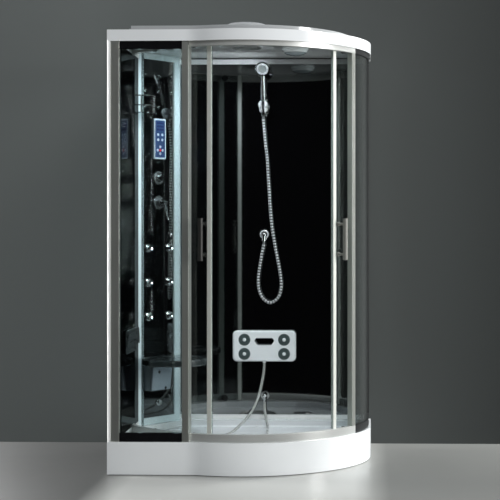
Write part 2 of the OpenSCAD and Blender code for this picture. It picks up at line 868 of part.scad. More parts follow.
module valve_plates() {
  color("silver") {
    at_panel(col_mid, knob_z) {
      cylinder(r = plate_r, h = 4);
      cylinder(r = plate_r - 4, h = 6);
      translate([0, 0, -18]) cylinder(r = valve_stem, h = 18);
      cylinder(r = spindle_r, h = 26);
    }
    at_panel(col_mid, mixer_z) {
      cylinder(r = plate_r, h = 4);
      cylinder(r = 24, h = body_h);
      translate([0, 0, -18]) cylinder(r = valve_stem, h = 18);
      cylinder(r = spindle_r, h = body_h + 6);
    }
  }
}

module function_knob() {
  color("silver")
  at_panel(col_mid, knob_z)
  difference() {
    union() {
      translate([0, 0, 6 + gap]) cylinder(r = 24, h = 10);
      translate([0, 0, 6 + gap]) cylinder(r = 17, h = 28);
      translate([-6, -23, 14]) cube([12, 46, 20]);
    }
    cylinder(r = spindle_r + pin_gap, h = 27);
  }
}

cap_z = body_h + gap;
pivot_z = body_h + 20;
ear_x = 8.3;

module mixer_cap() {
  color("silver")
  at_panel(col_mid, mixer_z)
  difference() {
    union() {
      translate([0, 0, cap_z]) cylinder(r = 22, h = 9);
      for (x = [-14, ear_x]) {
        translate([x, -8, cap_z]) cube([14 - ear_x, 16, pivot_z - cap_z]);
        translate([x, 0, pivot_z]) rotate([0, 90, 0]) cylinder(r = 8, h = 14 - ear_x);
      }
    }
    cylinder(r = spindle_r + pin_gap, h = body_h + 7);
    translate([-20, 0, pivot_z]) rotate([0, 90, 0]) cylinder(r = axle_r + pin_gap, h = 40);
  }
}

module mixer_lever() {
  color("silver")
  at_panel(col_mid, mixer_z)
  translate([0, 0, pivot_z]) {
    translate([-8, 0, 0]) rotate([0, 90, 0]) cylinder(r = 7.5, h = 16);
    translate([-14, 0, 0]) rotate([0, 90, 0]) cylinder(r = axle_r, h = 28);
    rotate([75, 0, 0]) {
      cylinder(r1 = 6, r2 = 4.5, h = 88);
      translate([0, 0, 88]) sphere(r = 5.5, $fn = 32);
    }
  }
}

module back_jet() {
  translate([0, 0, -22]) cylinder(r = jet_stem, h = 22);
  difference() {
    rotate_extrude($fn = 48)
      polygon([[0, 0], [jet_r, 0], [jet_r, 4], [jet_r - 2, 7], [jet_r - 5, 8], [jet_r - 6, 14],
        [jet_r - 9, 17], [8, 15], [7, 12], [0, 11]]);
    for (i = [0 : 2])
      rotate([0, 0, 120 * i + 30]) translate([8, -3, 9]) cube([6, 6, 12]);
  }
}

module back_jets() {
  color("silver") for (p = jet_places()) at_panel(p[0], p[1]) back_jet();
}

module neck_jets() {
  color("silver") {
    for (p = neck_places())
      at_panel(p[0], p[1]) {
        cylinder(r = neck_r, h = 3);
        cylinder(r = neck_r - 2, h = 8);
        translate([0, 0, -18]) cylinder(r = neck_stem, h = 18);
      }
    at_panel(col_mid, steam_z) {
      cylinder(r = 17, h = 4);
      cylinder(r = 12, h = 14);
      translate([0, 0, -18]) cylinder(r = jet_stem, h = 18);
    }
  }
}

pipe_y = 44;        // middle of the pipes behind the column's front

module panel_pipe(p, stem_end, r) {
  at_panel(p[0], p[1]) translate([0, 0, -pipe_y + panel_in]) cylinder(r = r, h = pipe_y - panel_in - stem_end);
}

module cross_pipe(z, half, r) {
  on_column() translate([col_mid - half, pipe_y, z]) rotate([0, 90, 0]) cylinder(r = r, h = 2 * half);
}

inlet_dx = 38;
inlet_r = 10.5;
inlet_len = 22;
valve_back = 74;

module water_pipes() {
  pipe_r = 8;
  color("peru") {
    for (p = jet_places()) panel_pipe(p, 22, 7);
    for (k = [0 : 2]) cross_pipe(jet_z + k * jet_pitch, jet_cols / 2 + 7, pipe_r);
    for (p = neck_places()) panel_pipe(p, 18, 4);
    for (k = [0 : 2]) cross_pipe(neck_z + k * neck_pitch, neck_cols + 6, 6);
    panel_pipe([col_mid, steam_z], 18, 7);
    on_column() {
      translate([col_mid, pipe_y, steam_z]) cylinder(r = pipe_r, h = neck_z + 2 * neck_pitch - steam_z);
      for (z = [knob_z, mixer_z])
        translate([col_mid - 52, frame_t + 1, z - 24]) cube([104, valve_back - frame_t - 1, 48]);
      for (x = [-1, 1])
        translate([col_mid + x * inlet_dx, valve_back, mixer_z]) rotate([-90, 0, 0])
          cylinder(r = inlet_r, h = inlet_len);
    }
    for (z = [knob_z, mixer_z])
      at_panel(col_mid, z) translate([0, 0, -frame_t]) cylinder(r = valve_stem - 2, h = frame_t - 18);
  }
}

tank_x = wall_x + 49.5;
tank_y = back - 78;
tank_r = 44;
tank_z = 170;
tank_h = 330;

module steam_generator() {
  color("gray") {
    translate([tank_x, tank_y, tank_z + 10]) cylinder(r = tank_r, h = tank_h - 20);
    translate([tank_x, tank_y, tank_z]) cylinder(r = tank_r - 8, h = tank_h);
    translate([tank_x - 50, tank_y - 50, tray_h]) cube([100, 100, 10]);
    translate([tank_x, tank_y, tank_z + tank_h]) cylinder(r = 8, h = 26);
    translate([tank_x + tank_r - 4, tank_y, tank_z + 60]) rotate([0, 90, -38]) cylinder(r = 6, h = 30);
  }
}

// Hand shower

module on_handle_axis() {
  translate(holder_axis) rotate([handle_tilt, 0, 0]) children();
}

module handset_holder() {
  color("silver")
  difference() {
    union() {
      at_back(holder_x, holder_z - 8) {
        cylinder(r = 24, h = 7);
        cylinder(r = 10, h = holder_out - 10);
        translate([0, 0, 34]) sphere(r = 17, $fn = 48);
      }
      on_handle_axis() {
        translate([0, 0, -cradle_h]) cylinder(r = 21, h = cradle_h - 6);
        translate([0, 0, -6]) cylinder(r1 = 21, r2 = 18, h = 6);
        translate([0, 0, -cradle_h - 5]) cylinder(r1 = 17, r2 = 21, h = 5);
      }
    }
    on_handle_axis() {
      translate([0, 0, -cradle_h - 10]) cylinder(r = stem_r + gap, h = cradle_h + 20);
      translate([-hose_d / 2 - 1, -40, -cradle_h - 10]) cube([hose_d + 2, 40, cradle_h + 20]);
    }
  }
}

head_tilt = 100;    // spray face, turned from the handle's axis towards the front
grip_l = 178;

module handset() {
  color("silver")
  on_handle_axis() {
    cylinder(r = 16, h = 5);
    translate([0, 0, 5]) cylinder(r1 = 13.5, r2 = 11, h = grip_l - 5);
    translate([0, 0, -38]) cylinder(r = stem_r, h = 38);
    translate([0, 0, -58]) cylinder(r = ferrule_r, h = 20);
    translate([0, 0, grip_l + 18]) rotate([head_tilt, 0, 0])
      translate([0, 0, -16])
        rotate_extrude($fn = 72)
          polygon([[0, -6], [10, -5], [20, 0], [head_r - 6, 12], [head_r, 22], [head_r, 30],
            [head_r - 3, 33], [head_r - 7, 33], [head_r - 9, 31], [0, 31]]);
    translate([0, 0, grip_l]) cylinder(r1 = 11, r2 = 13, h = 16);
  }
}

hose_steps = dense(shower_route, 6);
hose_run = lengths(hose_steps);
hose_len = hose_run[len(hose_run) - 1];
rib_rings = 2 * hose_ribs;

// Radius of the ribbed hose at ring i: plain for one diameter at each end.
function rib_r(i, n) = let (s = hose_len * i / n)
  (s < hose_d || s > hose_len - hose_d) ? hose_d / 2 - 1 : (i % 2 == 0 ? hose_d / 2 - 1.1 : hose_d / 2);

module shower_hose() {
  bore_rings = 80;
  down = [0, sin(handle_tilt), -cos(handle_tilt)];
  outer = [for (i = [0 : rib_rings]) along(hose_steps, hose_run, hose_len * i / rib_rings)];
  inner = concat([hose_top - down],
    [for (i = [0 : bore_rings]) along(hose_steps, hose_run, hose_len * i / bore_rings)],
    [shower_route[len(shower_route) - 1] + [0, 0, 1]]);
  color("silver")
  difference() {
    swept(outer, [for (i = [0 : rib_rings]) rib_r(i, rib_rings)], 8, down, [0, 0, 1]);
    swept(inner, [for (i = inner) 4.5], 6, down, [0, 0, 1]);
  }
}

board_steps = dense(board_route, 6);
board_run = lengths(board_steps);
board_len = board_run[len(board_run) - 1];

module board_hose() {
  n = 64;
  points = [for (i = [0 : n]) along(board_steps, board_run, board_len * i / n)];
  color("gainsboro") swept(points, [for (p = points) board_hose_d / 2], 8, [0, 0, -1], [0, 0, 1]);
}

echo(str("shower hose ", hose_len, " mm, board hose ", board_len, " mm"));

module elbow(out, flange, body, outlet, drop) {
  cylinder(r = flange, h = 5);
  cylinder(r = body, h = out);
  translate([0, 0, out]) sphere(r = body, $fn = 48);
  translate([0, 0, out]) rotate([90, 0, 0]) cylinder(r = outlet, h = drop);
  translate([0, 0, out]) rotate([90, 0, 0]) cylinder(r = outlet + 2, h = drop - 12);
}

module wall_fittings() {
  color("silver") {
    at_back(elbow_x, elbow_z) elbow(elbow_out, 32, 13, 10, elbow_z - 1122);
    at_back(board_elbow_x, board_elbow_z) elbow(board_elbow_out, 24, 12, 9, board_elbow_z - 258);
    for (x = [-peg_dx, peg_dx])
      at_back(board_x + x, board_z + peg_z) {
        cylinder(r = 11, h = 4);
        cylinder(r = peg_r, h = board_off + 4);
        translate([0, 0, board_off + 3 + gap]) cylinder(r = peg_r + 3, h = 5);
      }
  }
}

// Massage board

module keyhole(r, h) {
  cylinder(r = r, h = h);
  translate([-r, -44, 0]) cube([2 * r, 44, h]);
  translate([0, -44, 0]) cylinder(r = r, h = h);
}

function ring_places() = [for (x = [-1, 1], z = [-1, 1]) [board_x + x * ring_cols / 2, board_z - 4 + z * ring_rows / 2]];
ring_sink = 3;
centre_r = 12.5;

module massage_board() {
  face = board_off + board_t;
  color("white") {
    difference() {
      at_back(board_x, board_z) hull() {
        translate([0, 0, board_off]) linear_extrude(4) round_rect(board_w - 6, board_h - 6, 22, $fn = 32);
        translate([0, 0, board_off + 6]) linear_extrude(board_t - 14) round_rect(board_w, board_h, 24, $fn = 32);
        translate([0, 0, face - 4]) linear_extrude(4) round_rect(board_w - 14, board_h - 14, 18, $fn = 32);
      }
      for (p = ring_places())
        at_back(p[0], p[1]) translate([0, 0, face - ring_sink]) cylinder(r = ring_r + 0.2, h = 10);
      at_back(board_x, board_z + 22) translate([0, 0, -eps]) linear_extrude(face + 4)
        polygon([[-53, 17], [-42, 17], [42, 17], [53, 17], [54, 12], [40, -14], [34, -17], [-34, -17],
          [-40, -14], [-54, 12]]);
      for (x = [-peg_dx, peg_dx])
        at_back(board_x + x, board_z + peg_z) {
          translate([0, 0, board_off - eps]) keyhole(peg_r + gap, 3 + 2 * eps);
          translate([0, 0, board_off + 3]) keyhole(peg_r + 3 + gap, 7);
          translate([0, -44, board_off - eps]) cylinder(r = peg_r + 3 + gap, h = 6);
        }
    }
    for (p = ring_places())
      at_back(p[0], p[1]) translate([0, 0, face - ring_sink]) {
        cylinder(r = centre_r, h = 5);
        cylinder(r = centre_r - 4, h = 7);
      }
    translate([64, back_y - board_hose_out, board_z - board_h / 2 - 9]) cylinder(r = 9, h = 12);
  }
}

module board_rings() {
  color([0.25, 0.28, 0.28])
  for (p = ring_places())
    at_back(p[0], p[1]) translate([0, 0, board_off + board_t - ring_sink])
      difference() {
        union() {
          cylinder(r = ring_r, h = 4);
          cylinder(r = ring_r - 5, h = 5.5);
        }
        translate([0, 0, -eps]) cylinder(r = centre_r + 0.2, h = 10);
      }
}

// Doors. side is -1 for the left leaf and 1 for the right one. Degrees on a leaf are
// counted from its leading edge.

function lead_at(side) = meet_at + side * (meet_gap / 2 + door_open);

module leaf_slab(side, d1, d2, r1, r2, z1, z2) {
  a = lead_at(side) + side * d1;
  b = lead_at(side) + side * d2;
  arc_wall(r1, r2, min(a, b), max(a, b), z1, z2);
}

module on_leaf(side, d) {
  on_curve(lead_at(side) + side * d) children();
}

module door_glass(side) {
  color([0.4, 0.45, 0.45, 0.45])
  difference() {
    leaf_slab(side, magnet_deg + stile_deg * 0.4, leaf_deg - 0.2, door_in, door_out, leaf_z1, leaf_z2);
    for (d = [carrier_front_deg, carrier_rear_deg], z = [guide_z, top_wheel_z])
      on_leaf(side, d) spoke(door_in - 10, door_out + 10, neck_pin_r + 0.1, z);
    for (z = [-1, 1])
      on_leaf(side, handle_deg) spoke(door_in - 10, door_out + 10, 4.1, handle_z + z * handle_pitch / 2);
  }
}

module door_stile(side) {
  color("silver")
  difference() {
    leaf_slab(side, magnet_deg, magnet_deg + stile_deg, stile_in, stile_out, leaf_z1, leaf_z2);
    leaf_slab(side, magnet_deg + stile_deg * 0.38, magnet_deg + stile_deg + 1,
      door_in - 0.1, door_out + 0.1, leaf_z1 - eps, leaf_z2 + eps);
  }
}

module door_seals(side) {
  color([0.75, 0.78, 0.78, 0.7]) {
    leaf_slab(side, 0, magnet_deg, stile_in + 4, stile_out - 4, leaf_z1, leaf_z2);
    difference() {
      leaf_slab(side, leaf_deg - seal_deg, leaf_deg, door_in - 1.7, door_out + 1.7, leaf_z1, leaf_z2);
      leaf_slab(side, leaf_deg - seal_deg - 0.1, leaf_deg - 0.18, door_in - 0.1, door_out + 0.1,
        leaf_z1 - eps, leaf_z2 + eps);
    }
  }
}

module door_handle(side) {
  bar = door_out + handle_out;
  color("silver")
  on_leaf(side, handle_deg) {
    translate([0, -bar, handle_z - handle_l / 2]) cylinder(r = handle_d / 2, h = handle_l);
    for (s = [-1, 1]) {
      z = handle_z + s * handle_pitch / 2;
      spoke(door_in - 9, bar, 4, z);
      spoke(door_out + 0.5, bar, 7, z);
      spoke(door_out + 0.5, door_out + 5, 11, z);
      spoke(door_in - 9, door_in - 0.5, 11, z);
    }
  }
}

wheel_y1 = rail_mid - wheel_w / 2;
wheel_y2 = rail_mid + wheel_w / 2;

module door_carriers(side) {
  color([0.1, 0.1, 0.1])
  for (d = [carrier_front_deg, carrier_rear_deg])
    on_leaf(side, d) {
      for (z = [guide_z, top_wheel_z]) {
        spoke(door_in - 14, door_in - 0.5, carrier_r, z);
        spoke(door_in - 1, door_out + 1, neck_pin_r, z);
        spoke(door_out + 0.5, wheel_y1 - gap, 8, z);
      }
      spoke(door_out, wheel_y2 + gap + 2, axle_r, top_wheel_z);
      spoke(wheel_y2 + gap, wheel_y2 + gap + 2, 5, top_wheel_z);
      translate([-11, -wheel_y2, guide_z - wheel_r]) cube([22, wheel_w + 1, 2 * wheel_r]);
    }
}

module door_wheel(side, d) {
  color("whitesmoke")
  on_leaf(side, d)
    translate([0, -wheel_y1, top_wheel_z]) rotate([90, 0, 0])
      difference() {
        rotate_extrude($fn = 64)
          polygon([[0, 0], [wheel_r - 3, 0], [wheel_r, 2], [wheel_r, wheel_w - 2],
            [wheel_r - 3, wheel_w], [0, wheel_w]]);
        translate([0, 0, -eps]) cylinder(r = axle_r + pin_gap, h = wheel_w + 2 * eps);
      }
}

tray();
tray_frame();
levelling_feet();
waste_trap();
drain_cover();
roof_cover();
ceiling_panel();
roof_dome();
fan_housing();
fan_rotor();
ceiling_lamp();
left_wall_glass();
back_wall_glass();
wall_frames();
column_frame();
column_glass();
corner_trim();
wall_jambs();
door_posts();
top_rail();
bottom_rail();
flat_pane();
pane_bands();
curved_pane();
corner_shelf();
shelf_rails();
seat();
seat_bracket();
backrest();
control_panel();
control_screen();
valve_plates();
function_knob();
mixer_cap();
mixer_lever();
back_jets();
neck_jets();
handset_holder();
handset();
shower_hose();
wall_fittings();
massage_board();
board_rings();
board_hose();
steam_generator();
water_pipes();
door_glass(-1);  // left_door_glass
door_stile(-1);  // left_door_stile
door_seals(-1);  // left_door_seals
door_handle(-1);  // left_door_handle
door_carriers(-1);  // left_door_carriers
door_wheel(-1, carrier_front_deg);  // left_wheel_front
door_wheel(-1, carrier_rear_deg);  // left_wheel_rear
door_glass(1);  // right_door_glass
door_stile(1);  // right_door_stile
door_seals(1);  // right_door_seals
door_handle(1);  // right_door_handle
door_carriers(1);  // right_door_carriers
door_wheel(1, carrier_front_deg);  // right_wheel_front
door_wheel(1, carrier_rear_deg);  // right_wheel_rear
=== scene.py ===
import json
import math

import bmesh
import bpy
from bpy.props import FloatProperty, FloatVectorProperty, IntProperty, PointerProperty
from mathutils import Matrix, Vector
from mathutils.kdtree import KDTree


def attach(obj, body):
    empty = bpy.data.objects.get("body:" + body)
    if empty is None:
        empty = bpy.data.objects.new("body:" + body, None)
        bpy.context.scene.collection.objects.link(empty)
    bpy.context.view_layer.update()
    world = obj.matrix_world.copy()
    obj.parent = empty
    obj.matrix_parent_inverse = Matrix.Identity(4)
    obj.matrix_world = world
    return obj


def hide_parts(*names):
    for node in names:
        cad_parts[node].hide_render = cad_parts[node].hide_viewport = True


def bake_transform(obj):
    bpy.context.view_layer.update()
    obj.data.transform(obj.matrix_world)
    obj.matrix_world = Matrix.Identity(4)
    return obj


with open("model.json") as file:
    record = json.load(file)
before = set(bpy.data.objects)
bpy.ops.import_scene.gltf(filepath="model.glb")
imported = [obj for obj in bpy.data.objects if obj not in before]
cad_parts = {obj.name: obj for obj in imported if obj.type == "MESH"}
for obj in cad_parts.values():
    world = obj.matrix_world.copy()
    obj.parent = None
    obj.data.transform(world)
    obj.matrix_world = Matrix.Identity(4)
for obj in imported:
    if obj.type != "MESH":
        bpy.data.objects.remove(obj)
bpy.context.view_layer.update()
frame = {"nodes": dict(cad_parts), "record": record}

bl_info = {
    "name": "Hydromassage shower cabin",
    "version": (1, 0, 0),
    "blender": (4, 5, 0),
    "location": "3D View > Sidebar > Shower cabin",
    "description": "Dresses the shower cabin's frame: acrylic, glass, profiles, fittings and hoses",
    "category": "Object",
}

BODY_OF = {node: body for body, nodes in frame["record"]["behaviour"]["bodies"].items()
           for node in nodes}
SLOT_OF = {s["node"]: s["material_slot"] for s in frame["record"]["subparts"]}

# Places taken from the CAD model, in metres.
COLUMN = (-0.5735, 0.130)
COLUMN_TURN = 52
COLUMN_MID = 0.152
PANEL_IN = 0.008
BACK_Y = 0.420
WALL_X = -0.5735
BASIN_Z = 0.125
TRAY_TOP = 0.160
DRAIN = (0.25, -0.08)
ROOF_TOP = 2.150
TRIM = ((-0.6375, -0.6215), (-0.415, -0.385), (TRAY_TOP, 2.095))
LAMP_X = 0.252
JETS = [(COLUMN_MID + s * 0.074, 0.727 + k * 0.180) for s in (-1, 1) for k in range(3)]
NECKS = [(COLUMN_MID + i * 0.094, 1.830 + k * 0.083) for i in (-1, 0, 1) for k in range(3)]
SCREEN_Z = 1.664
BOARD = (0.0655, 0.558)
RINGS = [(BOARD[0] + x * 0.10675, 0.554 + z * 0.038) for x in (-1, 1) for z in (-1, 1)]
BOARD_FACE = 0.043
ELBOW = (0.063, 1.158)

# The ribbed hose: radius of its plain ends, of its grooves, how far its ribs stand out from them,
# length of a plain end, rings along each rib, and the radii between which the painted shade in the grooves
# goes from full to none.
PLAIN_R = 0.007
GROOVE_R = 0.0054
RIB_RISE = 0.0028
PLAIN_END = 0.016
RIB_RINGS = 8
DARK_R, BRIGHT_R = 0.0066, 0.0078

# Edges that meet at less than this angle are shaded as one smooth surface.
SMOOTH_BELOW = math.radians(32)


# ---------------------------------------------------------------- sizes and colours

def length(label, note, value, low, high):
    return FloatProperty(name=label, description=note, default=value, min=low, max=high,
                         unit="LENGTH", precision=4)


def colour(label, note, value):
    return FloatVectorProperty(name=label, description=note, default=value, size=3,
                               min=0.0, max=1.0, subtype="COLOR")


def amount(label, note, value, low=0.0, high=1.0):
    return FloatProperty(name=label, description=note, default=value, min=low, max=high,
                         subtype="FACTOR")


class CabinSizes(bpy.types.PropertyGroup):
    rim_round: length("Rim rounding", "Radius of the tray's and roof's outer edges", 0.009, 0.002, 0.012)
    basin_round: length("Basin rounding", "Radius of the basin's edges", 0.012, 0.002, 0.016)
    profile_round: length("Profile rounding", "Radius of the profile edges", 0.0022, 0.0005, 0.003)
    metal_round: length("Fitting rounding", "Radius of the edges of chromed pieces", 0.0008, 0.0002, 0.0015)
    glass_round: length("Glass rounding", "Radius of the ground glass edges", 0.0007, 0.0002, 0.0012)
    pad_crown: length("Pad crown", "How far the backrest's middle stands out", 0.006, 0.0, 0.008)
    hose_ribs: IntProperty(name="Hose ribs", description="Ribs along the shower hose", default=90,
                           min=60, max=200)


class CabinColours(bpy.types.PropertyGroup):
    acrylic: colour("Acrylic", "Tray and roof", (0.80, 0.82, 0.83))
    trim: colour("Trim", "Corner trim", (0.92, 0.93, 0.92))
    profile: colour("Profile", "Jambs, posts and stiles", (0.54, 0.555, 0.515))
    rail: colour("Rail", "Curved rails and wall frames", (0.66, 0.67, 0.65))
    column: colour("Column", "Frame of the jet column", (0.80, 0.92, 0.97))
    black_glass: colour("Black glass", "Walls and column", (0.0006, 0.0006, 0.0007))
    clear_glass: colour("Clear glass", "Doors and fixed panes", (0.93, 0.955, 0.955))
    chrome: colour("Chrome", "Chromed fittings", (0.80, 0.81, 0.82))
    seat: colour("Seat", "Seat and backrest", (0.028, 0.034, 0.035))
    bracket: colour("Bracket", "Seat bracket", (0.28, 0.33, 0.38))
    board: colour("Board", "Massage board", (0.88, 0.91, 0.92))
    ring: colour("Ring", "Nozzle rings on the board", (0.075, 0.105, 0.105))
    screen: colour("Screen", "Control screen", (0.035, 0.065, 0.15))
    hose: colour("Hose", "Smooth board hose", (0.40, 0.41, 0.39))
    backdrop: colour("Backdrop", "Backdrop behind the cabin", (0.085, 0.092, 0.090))
    floor: colour("Floor", "Floor round the cabin", (0.60, 0.60, 0.57))
    gloss: amount("Wall gloss", "Roughness of the black walls", 0.03)


# ---------------------------------------------------------------- shader maths

class Wire:
    """A socket of a node tree. Sums on it add Math nodes."""

    def __init__(self, tree, socket):
        self.tree = tree
        self.socket = socket

    def sum(self, operation, a, b):
        return self.tree.add("ShaderNodeMath", {"operation": operation}, {0: a, 1: b})

    def __add__(self, other):
        return self.sum("ADD", self, other)

    def __radd__(self, other):
        return self.sum("ADD", other, self)

    def __sub__(self, other):
        return self.sum("SUBTRACT", self, other)

    def __rsub__(self, other):
        return self.sum("SUBTRACT", other, self)

    def __mul__(self, other):
        return self.sum("MULTIPLY", self, other)

    def __rmul__(self, other):
        return self.sum("MULTIPLY", other, self)

    def __pow__(self, other):
        return self.sum("POWER", self, other)

    def __gt__(self, other):
        return self.sum("GREATER_THAN", self, other)


class Tree:
    """A node tree with one way to add a node."""

    def __init__(self, owner):
        owner.use_nodes = True
        self.tree = owner.node_tree
        self.tree.nodes.clear()

    def add(self, kind, settings=None, inputs=None, out=0):
        node = self.tree.nodes.new(kind)
        for key, value in (settings or {}).items():
            if key == "stops":
                ramp = node.color_ramp.elements
                while len(ramp) > 1:
                    ramp.remove(ramp[-1])
                ramp[0].position, ramp[0].color = value[0]
                for place, shade in value[1:]:
                    ramp.new(place).color = shade
            else:
                setattr(node, key, value)
        for key, value in (inputs or {}).items():
            if isinstance(value, Wire):
                self.tree.links.new(value.socket, node.inputs[key])
            else:
                node.inputs[key].default_value = value
        return Wire(self, node.outputs[out]) if node.outputs else None

    def mix(self, factor, a, b):
        return self.add("ShaderNodeMix", {"data_type": "RGBA"}, {0: factor, 6: a, 7: b}, out=2)

    def place(self, scale=(1, 1, 1)):
        spot = self.add("ShaderNodeTexCoord", out="Object")
        return self.add("ShaderNodeMapping", None, {"Vector": spot, "Scale": scale})

    def part(self, axis, where=None):
        """One coordinate of a place, x, y or z."""
        return self.add("ShaderNodeSeparateXYZ", None, {0: where or self.place()}, out=axis)

    def ramp(self, value, low, high):
        """0 up to low, 1 from high on."""
        return self.add("ShaderNodeMapRange", None, {"Value": value, "From Min": low, "From Max": high})

    def noise(self, where, scale, detail=3.0, rough=0.55):
        return self.add("ShaderNodeTexNoise", None,
                        {"Vector": where, "Scale": scale, "Detail": detail, "Roughness": rough})

    def bump(self, height, strength, distance):
        return self.add("ShaderNodeBump", None,
                        {"Height": height, "Strength": strength, "Distance": distance})


def shade(c, factor=1.0):
    return (*[min(1.0, x * factor) for x in c[:3]], 1.0)


def surface(name, sockets):
    """A new material with one Principled shader; sockets names its inputs."""
    made = bpy.data.materials.new(name)
    t = Tree(made)
    values = sockets(t)
    shader = t.add("ShaderNodeBsdfPrincipled", None, values)
    t.add("ShaderNodeOutputMaterial", None, {"Surface": shader})
    return made


def acrylic(name, c, rough=0.13):
    """Glossy white sheet, with painted shade on the roof's higher middle."""
    def sockets(t):
        cloud = t.noise(t.place(), 5.0, 2.0)
        fine = t.noise(t.place(), 260.0, 2.0)
        # Painted shade: the roof's middle, above its band, gets half the sheet's colour.
        middle_shade = t.part("Z") > ROOF_TOP + 0.0035
        return {"Base Color": t.mix(middle_shade, t.mix(cloud, shade(c, 0.975), shade(c, 1.02)), shade(c, 0.5)),
                "Roughness": rough + 0.06 * cloud + 0.02 * fine,
                "Coat Weight": 0.5, "Coat Roughness": 0.06, "IOR": 1.49,
                "Normal": t.bump(cloud * 0.6 + fine * 0.02, 0.12, 0.0006)}
    return surface(name, sockets)


def drawn_metal(name, c, rough, grain=(260.0, 260.0, 3.0), depth=0.00005, metal=1.0, black=None,
                painted_fade=None):
    """Satin anodised profile with fine lines along it; black where black[0] x + black[1] y > black[2];
    fade is painted shade on the part above z = fade[2], growing darker from x = fade[0] to fade[1], with a
    painted shadow line above fade[3]."""
    def sockets(t):
        lines = t.noise(t.place(scale=grain), 1.0, 4.0, 0.6)
        cloud = t.noise(t.place(scale=(9.0, 9.0, 2.0)), 1.0, 3.0)
        tone = t.mix(lines * 0.6 + cloud * 0.4, shade(c, 0.86), shade(c, 1.10))
        if black:
            far = black[0] * t.part("X") + black[1] * t.part("Y") > black[2]
            tone, metallic = t.mix(far, tone, (0.008, 0.008, 0.009, 1.0)), metal * (1.0 - far)
        if painted_fade:
            # Painted shade: above the given height the colour darkens towards larger x, away from the
            # highlight, and a painted shadow line sits on top where the rail meets the ceiling.
            z = t.part("Z")
            tone = t.mix(t.ramp(t.part("X"), painted_fade[0], painted_fade[1]) * (z > painted_fade[2]), tone, shade(c, 0.28))
            tone = t.mix(z > painted_fade[3], tone, (0.01, 0.01, 0.01, 1.0))
        return {"Base Color": tone, "Metallic": metallic if black else metal,
                "Roughness": (rough - 0.08) + 0.10 * lines + 0.08 * cloud,
                "Normal": t.bump(lines, 0.35, depth)}
    return surface(name, sockets)


def satin_paint(name, c):
    """Pale powder coat on the column's profiles."""
    def sockets(t):
        cloud = t.noise(t.place(scale=(8.0, 8.0, 3.0)), 1.0, 3.0)
        grain = t.noise(t.place(), 900.0, 2.0)
        return {"Base Color": t.mix(cloud, shade(c, 0.92), shade(c, 1.07)), "Metallic": 0.2,
                "Roughness": 0.28 + 0.06 * cloud + 0.06 * grain, "Coat Weight": 0.4,
                "Coat Roughness": 0.12, "Normal": t.bump(grain, 0.15, 0.00005)}
    return surface(name, sockets)


def polished(name, c, rough=0.05):
    """Chrome with faint smudges."""
    def sockets(t):
        smudge = t.noise(t.place(), 34.0, 4.0, 0.7)
        fine = t.noise(t.place(), 900.0, 1.0)
        return {"Base Color": t.mix(smudge, shade(c, 0.93), shade(c, 1.04)), "Metallic": 1.0,
                "Roughness": rough + 0.07 * smudge * smudge + 0.015 * fine,
                "Normal": t.bump(smudge, 0.05, 0.0002)}
    return surface(name, sockets)


def black_wall(name, c, rough, base=0.21, grazing=0.30):
    """Back-painted black glass: a dark mirror, a little stronger at a grazing angle."""
    made = bpy.data.materials.new(name)
    t = Tree(made)
    cloud = t.noise(t.place(), 3.0, 2.0)
    marks = t.noise(t.place(scale=(60.0, 60.0, 9.0)), 1.0, 4.0, 0.65)
    paint = t.add("ShaderNodeBsdfPrincipled", None,
                  {"Base Color": t.mix(cloud, shade(c, 0.8), shade(c, 1.5)), "Roughness": 0.5 + 0.1 * marks,
                   "Specular IOR Level": 0.0})
    mirror = t.add("ShaderNodeBsdfPrincipled", None,
                   {"Base Color": t.mix(cloud, (0.90, 0.93, 0.93, 1), (0.96, 0.98, 0.98, 1)), "Metallic": 1.0,
                    "Roughness": rough + 0.03 * (marks > 0.62) * marks + 0.01 * cloud})
    facing = t.add("ShaderNodeLayerWeight", None, {"Blend": 0.5}, out="Facing")
    both = t.add("ShaderNodeMixShader", None, {"Fac": base + grazing * facing ** 4, 1: paint, 2: mirror})
    t.add("ShaderNodeOutputMaterial", None, {"Surface": both})
    return made


def clear_pane(name, c, tint=1.0, strength=1.0):
    """Thin clear glass: light passes straight through, and its gloss grows at a grazing angle."""
    made = bpy.data.materials.new(name)
    t = Tree(made)
    marks = t.noise(t.place(scale=(40.0, 40.0, 7.0)), 1.0, 3.0, 0.6)
    through = t.add("ShaderNodeBsdfTransparent", None, {"Color": shade(c, tint)})
    gloss = t.add("ShaderNodeBsdfPrincipled", None,
                  {"Base Color": (0.9, 0.93, 0.93, 1.0), "Metallic": 1.0, "Roughness": 0.01 + 0.02 * marks})
    facing = t.add("ShaderNodeLayerWeight", None, {"Blend": 0.5}, out="Facing")
    edge = strength * (0.03 + 0.8 * facing ** 5)
    both = t.add("ShaderNodeMixShader", None, {"Fac": edge, 1: through, 2: gloss})
    t.add("ShaderNodeOutputMaterial", None, {"Surface": both})
    return made


def plastic(name, c, rough, grain=0.0, coat=0.0, scale=700.0):
    """Moulded plastic; grain deepens its fine texture."""
    def sockets(t):
        cloud = t.noise(t.place(), 14.0, 3.0)
        fine = t.noise(t.place(), scale, 3.0, 0.6)
        return {"Base Color": t.mix(cloud * 0.6 + fine * 0.4, shade(c, 0.88), shade(c, 1.12)),
                "Roughness": (rough - 0.04) + 0.08 * cloud + 0.05 * fine, "Coat Weight": coat,
                "Coat Roughness": 0.08,
                "Normal": t.bump(fine, 0.2 + 0.6 * grain, 0.00005 + 0.0003 * grain)}
    return surface(name, sockets)


def pearl(name, c):
    """White board shell with the soft sheen of injection-moulded plastic."""
    def sockets(t):
        cloud = t.noise(t.place(), 18.0, 3.0)
        flow = t.noise(t.place(scale=(9.0, 60.0, 60.0)), 1.0, 2.0)
        return {"Base Color": t.mix(cloud * 0.5 + flow * 0.5, shade(c, 0.93), shade(c, 1.06)),
                "Roughness": 0.20 + 0.08 * flow, "Coat Weight": 0.6, "Coat Roughness": 0.05,
                "Normal": t.bump(flow, 0.08, 0.0004)}
    return surface(name, sockets)


